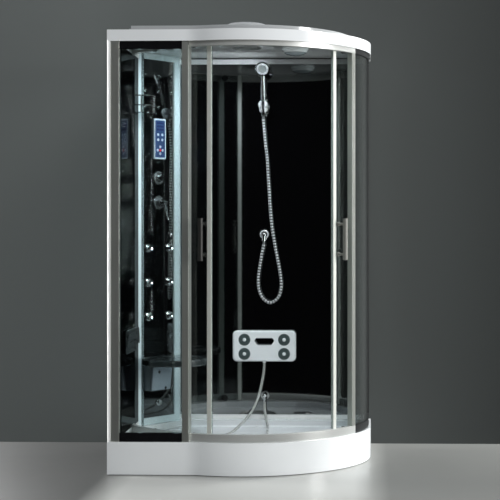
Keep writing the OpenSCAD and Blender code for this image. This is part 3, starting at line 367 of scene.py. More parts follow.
def lit(name, c, glow, power, ring=None):
    """A part that glows a little; ring is the middle and the inner radius of its pale rim, a painted
    highlight.
    """
    def sockets(t):
        cloud = t.noise(t.place(), 30.0, 2.0)
        tone = t.mix(cloud, shade(c, 0.9), shade(c, 1.1))
        if ring:
            # Painted highlight: beyond the given radius the colour turns pale, as the glint on the edge of
            # the lamp's cover.
            x, y = t.part("X") - ring[0], t.part("Y")
            tone = t.mix(x * x + y * y > ring[1] ** 2, tone, (0.80, 0.84, 0.84, 1.0))
        return {"Base Color": tone, "Roughness": 0.12 + 0.05 * cloud,
                "Emission Color": t.mix(cloud, shade(glow, 0.8), shade(glow, 1.15)),
                "Emission Strength": power, "Coat Weight": 1.0, "Coat Roughness": 0.02}
    return surface(name, sockets)


def hose_skin(name, c):
    """Translucent light grey tube."""
    def sockets(t):
        cloud = t.noise(t.place(), 40.0, 3.0)
        return {"Base Color": t.mix(cloud, shade(c, 0.9), shade(c, 1.12)), "Roughness": 0.22 + 0.1 * cloud,
                "Coat Weight": 0.7, "Coat Roughness": 0.08, "Subsurface Weight": 0.15,
                "Subsurface Radius": (0.004, 0.004, 0.004),
                "Normal": t.bump(cloud, 0.1, 0.0003)}
    return surface(name, sockets)


def ribbed_metal(name, c):
    """Chromed hose, with painted shade in the grooves between its ribs."""
    def sockets(t):
        groove = t.add("ShaderNodeAttribute", {"attribute_name": "groove"}, out="Fac")
        smudge = t.noise(t.place(), 60.0, 3.0)
        tone = t.mix(smudge, shade(c, 0.9), shade(c, 1.05))
        return {"Base Color": t.mix(groove, tone, (0.004, 0.004, 0.004, 1.0)),
                "Metallic": 0.6, "Roughness": 0.26 + 0.06 * smudge + 0.3 * groove}
    return surface(name, sockets)


FINISH = {}


def make_finishes(c):
    FINISH.update(
        acrylic_white=acrylic("acrylic", c.acrylic),
        trim_white=acrylic("trim", c.trim, 0.2),
        profile_satin=drawn_metal("profile", c.profile, 0.34, metal=0.82),
        stile_satin=drawn_metal("stile", shade(c.profile, 1.4), 0.36, metal=0.32),
        # The wall frames: colour near white as a painted highlight, darkened by painted shade towards the
        # right, with a painted shadow line along the top.
        frame_satin=drawn_metal("frame", (0.92, 0.94, 0.92), 0.34, (3.0, 260.0, 260.0), metal=0.2,
                                painted_fade=(0.0, 0.12, 2.07, 2.104)),
        handle_satin=drawn_metal("handle_satin", (0.22, 0.22, 0.20), 0.42, metal=0.25),
        # Painted shade: the left door's handle, a darker copy of the right one's satin finish.
        handle_dark=drawn_metal("handle_dark", (0.03, 0.03, 0.028), 0.42, metal=0.25),
        dark_chrome=polished("dark_chrome", (0.26, 0.27, 0.27), 0.12),
        jamb_satin=drawn_metal("jamb", c.profile, 0.34, metal=0.82, black=(1.0, 0.0, 0.5)),
        rail_satin=drawn_metal("rail", c.rail, 0.36, (3.0, 3.0, 300.0), 0.00004, 0.55,
                               (0.449, 0.893, 0.1707)),
        column_profile=satin_paint("column_profile", c.column),
        black_glass=black_wall("black_glass", c.black_glass, c.gloss),
        side_glass=black_wall("side_glass", c.black_glass, c.gloss, 0.08, 0.06),
        clear_glass=clear_pane("clear_glass", c.clear_glass),
        tinted_glass=clear_pane("tinted_glass", c.clear_glass, 0.72),
        shelf_glass=clear_pane("shelf_glass", (0.55, 0.66, 0.66), 0.9, 2.0),
        chrome=polished("chrome", c.chrome),
        band_black=plastic("band_black", (0.006, 0.006, 0.007), 0.10, coat=1.0),
        carrier_black=plastic("carrier_black", (0.012, 0.012, 0.013), 0.22, coat=0.6),
        wheel_nylon=plastic("wheel_nylon", (0.70, 0.70, 0.67), 0.35, 0.1),
        seal_clear=clear_pane("seal_clear", (0.80, 0.84, 0.84), 0.95, 3.0),
        seat_grey=plastic("seat_grey", c.seat, 0.24, 0.10, coat=0.5),
        # Painted shade: the bracket body is a darker copy of the bracket colour; its front fold keeps the
        # full colour as the lit face.
        bracket_grey=plastic("bracket_grey", shade(c.bracket, 0.35), 0.22, 0.05, coat=0.6),
        bracket_pale=plastic("bracket_pale", c.bracket, 0.22, 0.05, coat=0.6),
        pad_grey=plastic("pad_grey", c.seat, 0.42, 0.8, scale=420.0),
        panel_rim=plastic("panel_rim", (0.56, 0.62, 0.68), 0.25, 0.05, coat=0.5),
        screen_blue=lit("screen", c.screen, c.screen, 0.18),
        screen_dark=lit("screen_dark", (0.02, 0.03, 0.10), (0.02, 0.05, 0.20), 0.1),
        key_white=lit("key_white", (0.50, 0.56, 0.66), (0.40, 0.47, 0.60), 0.10),
        key_red=lit("key_red", (0.50, 0.04, 0.06), (0.45, 0.03, 0.05), 0.2),
        board_white=pearl("board_white", c.board),
        ring_grey=plastic("ring_grey", c.ring, 0.36, 0.3),
        hose_steel=ribbed_metal("hose_steel", c.chrome),
        ball_chrome=drawn_metal("ball_chrome", (0.86, 0.87, 0.88), 0.26, (40.0, 40.0, 40.0), metal=0.55),
        plate_chrome=drawn_metal("plate_chrome", (0.42, 0.44, 0.45), 0.20, (30.0, 30.0, 30.0), metal=0.75),
        spray_grey=plastic("spray_grey", (0.13, 0.145, 0.14), 0.34, 0.2),
        hose_grey=hose_skin("hose_grey", c.hose),
        frame_steel=drawn_metal("frame_steel", (0.42, 0.43, 0.44), 0.48, (30.0, 30.0, 30.0)),
        foot_black=plastic("foot_black", (0.02, 0.02, 0.02), 0.5, 0.5),
        trap_plastic=plastic("trap_plastic", (0.62, 0.63, 0.62), 0.42, 0.3),
        pipe_plastic=plastic("pipe_plastic", (0.55, 0.54, 0.50), 0.40, 0.3),
        tank_steel=drawn_metal("tank_steel", (0.58, 0.59, 0.60), 0.28, (3.0, 3.0, 400.0)),
        fan_plastic=plastic("fan_plastic", (0.30, 0.32, 0.32), 0.45, 0.3),
        # The ceiling lamp, with its pale rim as a painted highlight.
        lamp_white=lit("lamp_white", (0.26, 0.30, 0.31), (0.75, 0.86, 1.0), 0.05,
                       (LAMP_X, 0.058)),
    )


# ---------------------------------------------------------------- modelling helpers

def moved(offset):
    return Matrix.Translation(Vector(offset))


def turned(degrees, axis):
    return Matrix.Rotation(math.radians(degrees), 4, axis)


def on_column(x, y, z, lean=0.0):
    """Frame at a place of the column: x along it, y up, z out into the cabin, leaning by lean degrees."""
    return moved((*COLUMN, 0)) @ turned(COLUMN_TURN, "Z") @ moved((x, y, z)) @ turned(90 + lean, "X")


def on_panel(x, z):
    """Frame on the column's glass."""
    return on_column(x, PANEL_IN, z)


def on_back(x, z):
    """Frame on the back wall: x along it, y up, z out into the cabin."""
    return moved((x, BACK_Y, z)) @ turned(90, "X")


def around(radius, count):
    """Places evenly spaced on a circle."""
    turns = [2 * math.pi * k / count for k in range(count)]
    return [(radius * math.cos(a), radius * math.sin(a)) for a in turns]


def node_copy(node):
    """A bmesh of a CAD node with its loose triangles joined into clean faces."""
    bm = bmesh.new()
    bm.from_mesh(frame["nodes"][node].data)
    bmesh.ops.remove_doubles(bm, verts=bm.verts, dist=2e-5)
    bmesh.ops.dissolve_limit(bm, angle_limit=math.radians(0.4), verts=bm.verts, edges=bm.edges)
    return bm


def round_edges(bm, width, segments=2, where=None, sharp=28.0):
    """Bevels the edges sharper than an angle; where picks them by their middle."""
    limit = math.radians(sharp)
    edges = [e for e in bm.edges if len(e.link_faces) == 2 and e.calc_face_angle(0) > limit
             and (where is None or where((e.verts[0].co + e.verts[1].co) / 2))]
    if edges:
        bmesh.ops.bevel(bm, geom=edges, offset=width, offset_type="OFFSET", segments=segments,
                        profile=0.5, affect="EDGES", clamp_overlap=True, material=-1)


def lathe(profile, place, steps=48, sweep=360):
    """Turns (radius, height) points round z and closes the shape's foot; a part turn gets ends."""
    bm = bmesh.new()
    points = [bm.verts.new((r, 0, h)) for r, h in profile]
    if profile[0][0] == 0:
        points.append(bm.verts.new((0, 0, profile[-1][1])))
    edges = [bm.edges.new(pair) for pair in zip(points, points[1:])]
    if profile[0][0] > 0:
        edges.append(bm.edges.new((points[-1], points[0])))
    spun = bmesh.ops.spin(bm, geom=points + edges, cent=(0, 0, 0), axis=(0, 0, 1),
                          angle=math.radians(sweep), steps=steps, use_merge=sweep == 360,
                          use_duplicate=False)
    if sweep < 360:
        bmesh.ops.edgeloop_fill(bm, edges=edges)
        bmesh.ops.edgeloop_fill(bm, edges=[e for e in spun["geom_last"]
                                           if isinstance(e, bmesh.types.BMEdge)])
    bmesh.ops.remove_doubles(bm, verts=bm.verts, dist=1e-6)
    bmesh.ops.recalc_face_normals(bm, faces=bm.faces)
    bm.transform(place)
    return bm


def rounded(w, h, r, steps=6):
    """Outline of a rectangle with round corners."""
    return [(sx * (w / 2 - r) + r * math.cos(a), sy * (h / 2 - r) + r * math.sin(a))
            for sx, sy, start in ((1, 1, 0), (-1, 1, 90), (-1, -1, 180), (1, -1, 270))
            for a in (math.radians(start + 90 * k / steps) for k in range(steps + 1))]


def slab(outline, low, high, place, bevel=0.0):
    """Extrudes an outline from low to high along z; bevel rounds its upper edge."""
    bm = bmesh.new()
    face = bm.faces.new([bm.verts.new((x, y, low)) for x, y in outline])
    grown = bmesh.ops.extrude_face_region(bm, geom=[face])["geom"]
    top = [v for v in grown if isinstance(v, bmesh.types.BMVert)]
    bmesh.ops.translate(bm, verts=top, vec=(0, 0, high - low))
    bmesh.ops.recalc_face_normals(bm, faces=bm.faces)
    if bevel:
        rim = [e for e in bm.edges if all(v in top for v in e.verts)]
        bmesh.ops.bevel(bm, geom=rim, offset=bevel, offset_type="OFFSET", segments=3, profile=0.5,
                        affect="EDGES", clamp_overlap=True, material=-1)
    bm.transform(place)
    return bm


def joined(*parts):
    """One bmesh out of several."""
    whole = bmesh.new()
    for part in parts:
        spare = bpy.data.meshes.new("spare")
        part.to_mesh(spare)
        part.free()
        whole.from_mesh(spare)
        bpy.data.meshes.remove(spare)
    return whole


def finished(name, bm, finish, body, nodes=(), level=0):
    """Makes the object: smooth faces, sharp edges kept, weighted normals, and its place in the frame."""
    for face in bm.faces:
        face.smooth = True
    for edge in bm.edges:
        edge.smooth = len(edge.link_faces) == 2 and edge.calc_face_angle(0) < SMOOTH_BELOW
    mesh = bpy.data.meshes.new(name)
    bm.to_mesh(mesh)
    bm.free()
    piece = bpy.data.objects.new(name, mesh)
    bpy.context.scene.collection.objects.link(piece)
    mesh.materials.append(FINISH[finish])
    if level:
        soft = piece.modifiers.new("soft", "SUBSURF")
        soft.levels = soft.render_levels = level
    else:
        even = piece.modifiers.new("even", "WEIGHTED_NORMAL")
        even.keep_sharp = True
    if nodes:
        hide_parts(*nodes)
    if body:
        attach(piece, body)
    return piece


def dressed(node, width, finish=None, segments=2):
    """A CAD node's own shape with rounded edges, in place of the node."""
    bm = node_copy(node)
    if width:
        round_edges(bm, width, segments)
    return finished("dressed_" + node, bm, finish or SLOT_OF[node], BODY_OF[node], nodes=(node,))


def tube(name, points, radii, sides, finish):
    """A tube along points, with a radius at each, as a closed mesh."""
    curve = bpy.data.curves.new(name, "CURVE")
    curve.dimensions = "3D"
    curve.twist_mode = "MINIMUM"
    curve.bevel_depth = 1.0
    curve.bevel_resolution = max(0, sides // 4 - 1)
    curve.use_fill_caps = True
    line = curve.splines.new("POLY")
    line.points.add(len(points) - 1)
    for spot, p, r in zip(line.points, points, radii):
        spot.co = (*p, 1.0)
        spot.radius = r
    spare = bpy.data.objects.new(name + "_line", curve)
    bpy.context.scene.collection.objects.link(spare)
    bpy.context.view_layer.update()
    seen = spare.evaluated_get(bpy.context.evaluated_depsgraph_get())
    mesh = bpy.data.meshes.new_from_object(seen)
    bpy.data.objects.remove(spare)
    bpy.data.curves.remove(curve)
    mesh.name = name
    bm = bmesh.new()
    bm.from_mesh(mesh)
    bmesh.ops.remove_doubles(bm, verts=bm.verts, dist=1e-7)
    for face in bm.faces:
        face.smooth = True
    bm.to_mesh(mesh)
    bm.free()
    mesh.materials.clear()
    mesh.materials.append(FINISH[finish])
    piece = bpy.data.objects.new(name, mesh)
    bpy.context.scene.collection.objects.link(piece)
    return piece


# ---------------------------------------------------------------- the two hoses

TILT = math.radians(12)
HANDLE = Vector((0, -math.sin(TILT), math.cos(TILT)))
HOLDER = Vector((0.062, 0.350, 1.852))
HOSE_TOP = HOLDER - 0.0583 * HANDLE
SHOWER_ROUTE = [
    HOSE_TOP, HOSE_TOP - 0.020 * HANDLE,
    (0.064, 0.374, 1.740), (0.072, 0.380, 1.650), (0.082, 0.382, 1.556), (0.091, 0.382, 1.396),
    (0.103, 0.382, 1.232), (0.122, 0.382, 1.102), (0.144, 0.381, 0.987), (0.156, 0.379, 0.905),
    (0.153, 0.377, 0.850), (0.135, 0.376, 0.812), (0.097, 0.375, 0.792), (0.057, 0.375, 0.816),
    (0.036, 0.375, 0.868), (0.034, 0.375, 0.926), (0.042, 0.375, 0.987), (0.054, 0.375, 1.055),
    (0.063, 0.375, 1.100), (0.063, 0.375, 1.122)]
BOARD_ROUTE = [
    (0.064, 0.395, 0.466), (0.064, 0.395, 0.450), (0.061, 0.392, 0.413), (0.049, 0.386, 0.344),
    (0.034, 0.368, 0.285), (0.016, 0.334, 0.238), (-0.005, 0.288, 0.203), (-0.029, 0.232, 0.176),
    (-0.056, 0.170, 0.152), (-0.082, 0.105, 0.135), (-0.099, 0.040, 0.1323),
    (-0.100, -0.025, 0.1323), (-0.074, -0.080, 0.1323), (-0.020, -0.108, 0.1323),
    (0.040, -0.096, 0.1323), (0.084, -0.052, 0.1323), (0.101, 0.010, 0.1323),
    (0.102, 0.080, 0.1323), (0.098, 0.150, 0.1323), (0.095, 0.220, 0.133), (0.090, 0.290, 0.141),
    (0.080, 0.345, 0.165), (0.070, 0.378, 0.205), (0.067, 0.385, 0.240), (0.067, 0.385, 0.258)]


def smooth_point(p, i, t):
    """A point of the smooth curve through p[i] and p[i + 1]."""
    a, b, c, d = p[max(i - 1, 0)], p[i], p[i + 1], p[min(i + 2, len(p) - 1)]
    m1, m2 = (c - a) / 2, (d - b) / 2
    return ((2 * t ** 3 - 3 * t ** 2 + 1) * b + (t ** 3 - 2 * t ** 2 + t) * m1
            + (3 * t ** 2 - 2 * t ** 3) * c + (t ** 3 - t ** 2) * m2)


def route_points(route, count):
    """Points evenly spaced along the smooth curve through a route, and its length."""
    p = [Vector(q) for q in route]
    dense = [smooth_point(p, i, j / 6) for i in range(len(p) - 1) for j in range(6)] + [p[-1]]
    run = [0.0]
    for a, b in zip(dense, dense[1:]):
        run.append(run[-1] + (b - a).length)
    made, i = [], 0
    for k in range(count + 1):
        s = run[-1] * k / count
        while i < len(dense) - 2 and run[i + 1] < s:
            i += 1
        made.append(dense[i].lerp(dense[i + 1], (s - run[i]) / (run[i + 1] - run[i])))
    return made, run[-1]


# ---------------------------------------------------------------- operators

class Cabin:
    """What the cabin's operators share."""
    bl_options = {"REGISTER", "UNDO"}

    def execute(self, context):
        self.build(context.scene.cabin_sizes)
        return {"FINISHED"}


class CABIN_OT_finishes(Cabin, bpy.types.Operator):
    """Makes the materials from the cabin's colours"""
    bl_idname = "cabin.finishes"
    bl_label = "Finishes"

    def build(self, sizes):
        make_finishes(bpy.context.scene.cabin_colours)


class CABIN_OT_stage(Cabin, bpy.types.Operator):
    """Sets up the camera, the lights, the floor and the backdrop"""
    bl_idname = "cabin.stage"
    bl_label = "Stage"

    def build(self, sizes):
        colours = bpy.context.scene.cabin_colours
        scene = bpy.context.scene
        lens = bpy.data.cameras.new("view")
        lens.sensor_width = 36.0
        lens.lens = 100.98
        lens.shift_x = -0.15
        lens.shift_y = -0.043
        lens.clip_end = 60.0
        camera = bpy.data.objects.new("view", lens)
        camera.location = (0.6083, -7.148, 1.19)
        camera.rotation_euler = (math.radians(90), 0, math.radians(1.644))
        scene.collection.objects.link(camera)
        scene.camera = camera
        scene.view_settings.view_transform = "Standard"
        for name, spot, aim, size, power, tint in (
                ("key", (6.1, -2.4, 2.1), (0.1, 0.0, 1.1), (1.5, 2.8), 275, (1.0, 1.0, 0.99)),
                ("left", (-5.0, 0.5, 1.6), (-0.6, -0.3, 1.1), (0.9, 2.8), 480, (1.0, 1.0, 1.0)),
                ("side", (3.6, 2.0, 1.9), (0.0, 0.0, 1.1), (1.2, 2.6), 400, (0.98, 1.0, 1.0)),
                ("top", (1.6, -3.0, 4.8), (0.1, -0.2, 0.8), (2.4, 1.4), 75, (0.97, 0.98, 1.0)),
                ("front", (0.5, -4.6, 1.2), (0.0, 0.0, 1.1), (1.5, 1.5), 20, (1.0, 1.0, 1.0)),
                ("rear", (-3.5, 4.5, 3.2), (0.0, 0.2, 1.1), (2.5, 2.5), 100, (1.0, 1.0, 1.0))):
            lamp = bpy.data.lights.new(name, "AREA")
            lamp.shape = "RECTANGLE"
            lamp.size, lamp.size_y = size
            lamp.energy = power
            lamp.color = tint
            light = bpy.data.objects.new(name, lamp)
            light.location = spot
            light.rotation_euler = (Vector(aim) - Vector(spot)).to_track_quat("-Z", "Y").to_euler()
            light.visible_glossy = name not in ("side", "front")
            scene.collection.objects.link(light)
        inner = bpy.data.lights.new("inner", "AREA")
        inner.shape = "DISK"
        inner.size = 0.30
        inner.energy = 10.5
        inner.color = (0.82, 0.92, 1.0)
        bulb = bpy.data.objects.new("inner", inner)
        bulb.location = (-0.06, -0.06, 2.07)
        bulb.rotation_euler = (math.radians(7), 0, 0)
        bulb.visible_glossy = False
        scene.collection.objects.link(bulb)

        world = bpy.data.worlds.new("studio")
        scene.world = world
        t = Tree(world)
        way = t.add("ShaderNodeTexCoord", out="Generated")
        depth = t.part("Y", way)
        level = t.mix(t.ramp(depth, 0.0, 0.9), (0.004, 0.004, 0.0045, 1), (0.11, 0.118, 0.116, 1))
        patch = t.ramp(0.70 * t.part("X", way) + 0.71 * depth, 0.87, 0.97)
        level = t.mix(patch, level, (0.36, 0.38, 0.37, 1))
        sky = t.mix(t.ramp(t.part("Z", way), 0.22, 0.9), level, (0.60, 0.64, 0.66, 1))
        seen = t.add("ShaderNodeLightPath", out="Is Camera Ray")
        both = t.mix(seen, sky, shade(colours.backdrop, 1.3))
        back = t.add("ShaderNodeBackground", None, {"Color": both, "Strength": 1.0})
        t.add("ShaderNodeOutputWorld", None, {"Surface": back})

        def floor_painted_light(t):
            cloud = t.noise(t.place(), 1.2, 3.0)
            # Painted light and shade: a pool of light under the cabin, darker to both sides along x.
            side = t.ramp(t.part("X"), -1.0, 1.0)
            stops = [(place, (tone, tone, tone, 1.0)) for place, tone in (
                (0.0, 0.05), (0.17, 0.06), (0.25, 0.47), (0.78, 0.50), (0.86, 0.22), (1.0, 0.21))]
            ramp = t.add("ShaderNodeValToRGB", {"stops": stops}, {"Fac": side}, out="Color")
            tone = t.mix(cloud, shade(colours.floor, 0.95), shade(colours.floor, 1.05))
            return {"Base Color": t.add("ShaderNodeMix", {"data_type": "RGBA", "blend_type": "MULTIPLY"},
                                        {0: 1.0, 6: tone, 7: ramp}, out=2),
                    "Roughness": 0.30 + 0.1 * cloud}
        floor = slab([(-7, -9), (7, -9), (7, 6), (-7, 6)], -0.02, 0.0, Matrix())
        ground = self.set_piece("floor", floor, surface("floor", floor_painted_light))
        ground.visible_glossy = False

        made = bpy.data.materials.new("backdrop")
        t = Tree(made)
        # Painted light and shade: the backdrop is lighter at the left and darker towards the right.
        side = t.ramp(t.part("X"), -0.9, 1.6)
        paint = t.add("ShaderNodeBsdfDiffuse", None,
                      {"Color": t.mix(side, shade(colours.backdrop, 1.65), shade(colours.backdrop, 0.38))})
        clear = t.add("ShaderNodeBsdfTransparent")
        rear = t.add("ShaderNodeNewGeometry", out="Backfacing")
        t.add("ShaderNodeOutputMaterial", None,
              {"Surface": t.add("ShaderNodeMixShader", None, {"Fac": rear, 1: paint, 2: clear})})
        bm = bmesh.new()
        bm.faces.new([bm.verts.new(p) for p in ((-7, 0.62, 0), (7, 0.62, 0), (7, 0.62, 6), (-7, 0.62, 6))])
        wall = self.set_piece("backdrop", bm, made)
        wall.visible_shadow = wall.visible_diffuse = wall.visible_glossy = False
        wall.visible_transmission = False

    def set_piece(self, name, bm, look):
        mesh = bpy.data.meshes.new(name)
        bm.to_mesh(mesh)
        bm.free()
        mesh.materials.append(look)
        piece = bpy.data.objects.new(name, mesh)
        bpy.context.scene.collection.objects.link(piece)
        return piece


class CABIN_OT_tray(Cabin, bpy.types.Operator):
    """Tray with rounded rim and basin, its frame, feet and waste"""
    bl_idname = "cabin.tray"
    bl_label = "Tray and base"

    def build(self, sizes):
        bm = node_copy("tray")
        round_edges(bm, sizes.basin_round, 4, lambda p: abs(p.z - BASIN_Z) < 0.001
                    and math.hypot(p.x - DRAIN[0], p.y - DRAIN[1]) > 0.06)
        round_edges(bm, sizes.rim_round, 4, lambda p: abs(p.z - TRAY_TOP) < 0.001)
        finished("tray_shell", bm, "acrylic_white", "cabin", nodes=("tray",))
        dressed("drain_cover", 0.0008)
        dressed("waste_trap", 0.001)
        dressed("tray_frame", 0.0015)
        dressed("levelling_feet", 0.0008)


class CABIN_OT_roof(Cabin, bpy.types.Operator):
    """Roof cover, ceiling, dome, fan and lamp"""
    bl_idname = "cabin.roof"
    bl_label = "Roof"

    def build(self, sizes):
        bm = node_copy("roof_cover")
        round_edges(bm, sizes.rim_round, 4, lambda p: p.z > ROOF_TOP - 0.001)
        finished("roof_shell", bm, "acrylic_white", "cabin", nodes=("roof_cover",))
        dressed("roof_dome", 0.001)
        dressed("ceiling_lamp", 0.0015)
        dressed("fan_housing", 0.0006)
        dressed("fan_rotor", 0.0005)
        dressed("ceiling_panel", 0.001)


class CABIN_OT_walls(Cabin, bpy.types.Operator):
    """Black glass walls and their frames, and the jet column"""
    bl_idname = "cabin.walls"
    bl_label = "Walls and column"

    def build(self, sizes):
        dressed("left_wall_glass", sizes.glass_round, "side_glass")
        dressed("back_wall_glass", sizes.glass_round)
        dressed("column_glass", sizes.glass_round)
        dressed("wall_frames", sizes.profile_round, "frame_satin")
        dressed("column_frame", sizes.profile_round)


class CABIN_OT_front(Cabin, bpy.types.Operator):
    """Trim, jambs, posts, rails and fixed panes"""
    bl_idname = "cabin.front"
    bl_label = "Front profiles and panes"

    def build(self, sizes):
        (x1, x2), (y1, y2), (z1, z2) = TRIM
        bm = slab([(x1, y1), (x2, y1), (x2, y2), (x1, y2)], z1, z2, Matrix())
        round_edges(bm, 0.011, 6, lambda p: p.x < x1 + 0.0005 and p.y < y1 + 0.001 and 0.3 < p.z < 1.9)
        finished("trim_strip", bm, "trim_white", "cabin", nodes=("corner_trim",))
        dressed("wall_jambs", sizes.profile_round, "jamb_satin", segments=3)
        dressed("door_posts", sizes.profile_round, segments=3)
        for node in ("top_rail", "bottom_rail"):
            dressed(node, 0.0015)
        dressed("pane_bands", 0.0015)
        dressed("flat_pane", sizes.glass_round)
        dressed("curved_pane", sizes.glass_round, "tinted_glass")


class CABIN_OT_doors(Cabin, bpy.types.Operator):
    """Both sliding door leaves and their wheels"""
    bl_idname = "cabin.doors"
    bl_label = "Doors"

    def build(self, sizes):
        for side in ("left", "right"):
            dressed(f"{side}_door_glass", 0)
            dressed(f"{side}_door_stile", 0.0018, "stile_satin", segments=3)
            dressed(f"{side}_door_seals", 0)
            # The left handle takes the darker copy, as painted shade.
            dressed(f"{side}_door_handle", 0.0015, "handle_dark" if side == "left" else "handle_satin", 3)
            dressed(f"{side}_door_carriers", 0.0015, segments=3)
            dressed(f"{side}_wheel_front", 0.0005)
            dressed(f"{side}_wheel_rear", 0.0005)


class CABIN_OT_fittings(Cabin, bpy.types.Operator):
    """Control panel, valves and jets on the column"""
    bl_idname = "cabin.fittings"
    bl_label = "Column fittings"

    def build(self, sizes):
        dressed("control_panel", 0.0012)
        dressed("control_screen", 0.0008)
        face = 0.0125  # how far the screen stands out from the column's glass
        rows = joined(*[slab(rounded(0.050, 0.011, 0.001, 2), face, face + 0.0006,
                             on_panel(COLUMN_MID, SCREEN_Z + 0.083 - 0.017 * k), 0.0003)
                        for k in range(3)])
        finished("screen_rows", rows, "screen_dark", "cabin")
        keys = [(sx * 0.015, 0.022 - 0.027 * k) for sx in (-1, 1) for k in range(2)]
        keys += [(0, -0.042), (0, -0.078), (-0.018, -0.060), (0.018, -0.060)]
        dots = joined(*[lathe([(0, face + 0.0022), (0.0058, face + 0.0019), (0.0074, face + 0.0008),
                               (0.0076, face)], on_panel(COLUMN_MID + x, SCREEN_Z + y), 20)
                        for x, y in keys])
        finished("screen_keys", dots, "key_white", "cabin")
        star = [(x * reach, y * reach) for (x, y), reach in zip(around(0.008, 8), (1.5, 0.75) * 4)]
        cross = slab(star, face, face + 0.0016, on_panel(COLUMN_MID, SCREEN_Z - 0.060), 0.0004)
        finished("screen_cross", cross, "key_red", "cabin")
        dressed("valve_plates", 0.0022, "plate_chrome", segments=3)
        for node in ("function_knob", "mixer_cap", "mixer_lever"):
            dressed(node, 0.0022, segments=3)
        dressed("back_jets", sizes.metal_round)
        dressed("neck_jets", 0.0014, segments=3)
        cores = joined(*[lathe([(0, 0.0135), (0.0045, 0.0133), (0.0068, 0.0122), (0.0072, 0.0105)],
                               on_panel(x, z), 20) for x, z in JETS])
        finished("jet_cores", cores, "carrier_black", "cabin")
        tips = joined(*[lathe([(0, 0.0096), (0.002, 0.0094), (0.0032, 0.0082), (0.0034, 0.0078)],
                              on_panel(x, z), 16) for x, z in NECKS])
        finished("neck_cores", tips, "carrier_black", "cabin")


class CABIN_OT_seat(Cabin, bpy.types.Operator):
    """Corner seat, its bracket and the backrest pad"""
    bl_idname = "cabin.seat"
    bl_label = "Seat and backrest"

    def build(self, sizes):
        dressed("seat", 0.004, segments=3)
        dressed("seat_bracket", 0.005, segments=3)
        face = on_column(0.041, -0.050, 0.340, lean=6.3)
        screws = joined(*[lathe([(0, 0.004), (0.006, 0.004), (0.0078, 0.0028), (0.008, 0)],
                                face @ moved((x, z, 0)), 24) for x, z in ((0.049, 0.100), (0.103, 0.012))])
        finished("bracket_caps", screws, "carrier_black", "cabin")
        # The front fold in the bracket's full colour, the lit face beside the bracket body's painted shade.
        fold = slab(rounded(0.134, 0.138, 0.003, 3), 0, 0.0018, face @ moved((0.073, 0.073, 0)), 0.0012)
        finished("bracket_fold", fold, "bracket_pale", "cabin")
        place = moved((WALL_X, -0.137, 0.628)) @ turned(90, "Z") @ turned(90, "X")
        bm = slab(rounded(0.330, 0.119, 0.030, 5), 0.0005, 0.010, place)
        # From its rim inwards the pad's face rises, dips into a seam and rises to its crown.
        front = max(bm.faces, key=lambda f: f.calc_center_median().x)
        for inset, rise in ((0.006, 0.0028), (0.012, 0.0), (0.004, -0.0018), (0.004, 0.0022),
                            (0.014, sizes.pad_crown * 0.5), (0.012, 0.0)):
            bmesh.ops.inset_region(bm, faces=[front], thickness=inset, depth=0.0, use_even_offset=True)
            bmesh.ops.translate(bm, verts=front.verts, vec=(rise, 0, 0))
        pad = finished("backrest_pad", bm, "pad_grey", "cabin", nodes=("backrest",), level=2)


class CABIN_OT_shelf(Cabin, bpy.types.Operator):
    """Corner shelf and its guard rails"""
    bl_idname = "cabin.shelf"
    bl_label = "Corner shelf"

    def build(self, sizes):
        dressed("corner_shelf", sizes.glass_round)
        dressed("shelf_rails", 0, "dark_chrome")


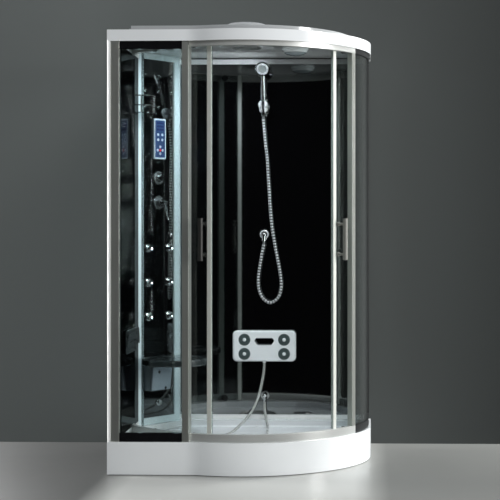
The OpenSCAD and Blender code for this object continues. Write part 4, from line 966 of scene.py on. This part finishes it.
class CABIN_OT_hand_shower(Cabin, bpy.types.Operator):
    """Hand shower, holder, ribbed hose and wall elbows"""
    bl_idname = "cabin.hand_shower"
    bl_label = "Hand shower"

    def build(self, sizes):
        dressed("handset_holder", sizes.metal_round, "ball_chrome")
        dressed("handset", sizes.metal_round)
        dressed("wall_fittings", sizes.metal_round)
        ring = [(0.027 * math.cos(a), 0.027 * math.sin(a))
                for a in (math.radians(-61 + 8.1 * k) for k in range(15))]
        ball = lathe([(0.0130, -0.0236), *ring, (0.0167, 0.0212), (0.0167, 0.0004), (0.0130, 0.0004)],
                     moved(HOLDER) @ turned(12, "X") @ turned(-66, "Z"), 44, 312)
        finished("holder_ball", ball, "ball_chrome", "cabin")
        rosette = lathe([(0.0165, 0.0), (0.0165, 0.0075), (0.0215, 0.0070), (0.0262, 0.0040), (0.0270, 0.0)],
                        on_back(*ELBOW), 56)
        finished("elbow_rosette", rosette, "ball_chrome", "cabin")
        head = (moved(HOLDER) @ turned(12, "X") @ moved((0, 0, 0.196)) @ turned(100, "X")
                @ moved((0, 0, -0.016)))
        spray = lathe([(0, 0.0335), (0.0195, 0.0335), (0.0215, 0.0325), (0.0215, 0.031)], head, 48)
        rim = lathe([(0.0215, 0.031), (0.0215, 0.0338), (0.0235, 0.0346), (0.0280, 0.0340), (0.0305, 0.0322),
                     (0.0305, 0.031)], head, 48)
        finished("spray_rim", rim, "ball_chrome", "hand_shower")
        finished("spray_face", spray, "spray_grey", "hand_shower")
        nubs = [lathe([(0, 0.0346), (0.0006, 0.0344), (0.0012, 0.033)], head @ moved((x, y, 0)), 8)
                for radius, count in ((0.005, 5), (0.010, 10), (0.0155, 15))
                for x, y in around(radius, count)]
        finished("spray_nozzles", joined(*nubs), "wheel_nylon", "hand_shower")

        rings = sizes.hose_ribs * RIB_RINGS
        path, real = route_points(SHOWER_ROUTE, rings)
        radii = []
        for i in range(rings + 1):
            s = real * i / rings
            plain = s < PLAIN_END or s > real - PLAIN_END
            wave = min(1.0, 1.35 * math.sin(math.pi * (i % RIB_RINGS) / RIB_RINGS))
            radii.append(PLAIN_R if plain else GROOVE_R + RIB_RISE * wave)
        hose = tube("ribbed_hose", path, radii, 16, "hose_steel")
        near = KDTree(len(path))
        for i, p in enumerate(path):
            near.insert(p, i)
        near.balance()
        # Painted shade in the grooves: full at DARK_R and below, none from BRIGHT_R up.
        groove = hose.data.attributes.new("groove", "FLOAT", "POINT")
        for spot, v in zip(groove.data, hose.data.vertices):
            spot.value = min(1.0, max(0.0, (BRIGHT_R - near.find(v.co)[2]) / (BRIGHT_R - DARK_R)))
        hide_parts("shower_hose")
        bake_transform(hose)


class CABIN_OT_board(Cabin, bpy.types.Operator):
    """Massage board with its nozzles and smooth hose"""
    bl_idname = "cabin.board"
    bl_label = "Massage board"

    def build(self, sizes):
        bm = node_copy("massage_board")
        # The hand slot's upper corners move inward and up, and the points below them down.
        for v in bm.verts:
            across, up = v.co.x - BOARD[0], v.co.z - BOARD[1] - 0.022
            if abs(abs(across) - 0.053) < 0.0004 and abs(up - 0.017) < 0.0004:
                v.co.x, v.co.z = BOARD[0] + math.copysign(0.044, across), v.co.z + 0.004
            elif abs(abs(across) - 0.054) < 0.0004 and abs(up - 0.012) < 0.0004:
                v.co.z -= 0.006
        round_edges(bm, 0.0015, 3, sharp=40.0)
        finished("board_shell", bm, "board_white", "board", nodes=("massage_board",))
        ridge = BOARD_FACE - 0.003
        rings, nubs, hubs = [], [], []
        for x, z in RINGS:
            place = on_back(x, z)
            rings.append(lathe([(0.0098, ridge), (0.0098, ridge + 0.0076), (0.0135, ridge + 0.0074),
                                (0.0142, ridge + 0.0052),
                                (0.0165, ridge + 0.0052), (0.0175, ridge + 0.0034),
                                (0.0195, ridge + 0.0034), (0.0203, ridge + 0.0052),
                                (0.0245, ridge + 0.0055), (0.0253, ridge + 0.0036),
                                (0.0272, ridge + 0.0036), (0.0282, ridge + 0.0046),
                                (0.0310, ridge + 0.0040), (0.0318, ridge + 0.0030), (0.0318, ridge)],
                               place, 64))
            hubs.append(lathe([(0, ridge + 0.0105), (0.0050, ridge + 0.0102), (0.0080, ridge + 0.0088),
                               (0.0096, ridge + 0.0070), (0.0096, ridge)],
                              place, 40))
            nubs += [lathe([(0, 0.0016), (0.0009, 0.0012), (0.0014, 0)],
                           place @ moved((x, y, ridge + high)), 8)
                     for radius, count, high in ((0.0224, 16, 0.0055), (0.0153, 8, 0.0052))
                     for x, y in around(radius, count)]
        finished("ring_shells", joined(*rings), "ring_grey", "board", nodes=("board_rings",))
        finished("ring_hubs", joined(*hubs), "board_white", "board")
        finished("ring_nozzles", joined(*nubs), "carrier_black", "board")

        path, real = route_points(BOARD_ROUTE, 150)
        hose = tube("smooth_hose", path, [0.007] * len(path), 16, "hose_grey")
        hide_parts("board_hose")
        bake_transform(hose)


class CABIN_OT_services(Cabin, bpy.types.Operator):
    """Pipes and steam generator behind the column"""
    bl_idname = "cabin.services"
    bl_label = "Pipes and steam generator"

    def build(self, sizes):
        dressed("steam_generator", 0.0015)
        dressed("water_pipes", 0.0006)


class CABIN_PT_panel(bpy.types.Panel):
    """Lists the cabin's pieces, sizes and colours"""
    bl_idname = "CABIN_PT_panel"
    bl_label = "Shower cabin"
    bl_space_type = "VIEW_3D"
    bl_region_type = "UI"
    bl_category = "Shower cabin"

    def draw(self, context):
        for step in STEPS:
            self.layout.operator(step.bl_idname)
        for group in (context.scene.cabin_sizes, context.scene.cabin_colours):
            for key in group.__annotations__:
                self.layout.prop(group, key)


STEPS = (CABIN_OT_finishes, CABIN_OT_stage, CABIN_OT_tray, CABIN_OT_roof, CABIN_OT_walls,
         CABIN_OT_front, CABIN_OT_doors, CABIN_OT_fittings, CABIN_OT_seat, CABIN_OT_shelf,
         CABIN_OT_hand_shower, CABIN_OT_board, CABIN_OT_services)
CLASSES = (CabinSizes, CabinColours, *STEPS, CABIN_PT_panel)


def register():
    for item in CLASSES:
        bpy.utils.register_class(item)
    bpy.types.Scene.cabin_sizes = PointerProperty(type=CabinSizes)
    bpy.types.Scene.cabin_colours = PointerProperty(type=CabinColours)


def unregister():
    del bpy.types.Scene.cabin_sizes
    del bpy.types.Scene.cabin_colours
    for item in reversed(CLASSES):
        bpy.utils.unregister_class(item)


def main():
    register()
    for step in STEPS:
        group, action = step.bl_idname.split(".")
        getattr(getattr(bpy.ops, group), action)()


if __name__ == "__main__":
    main()
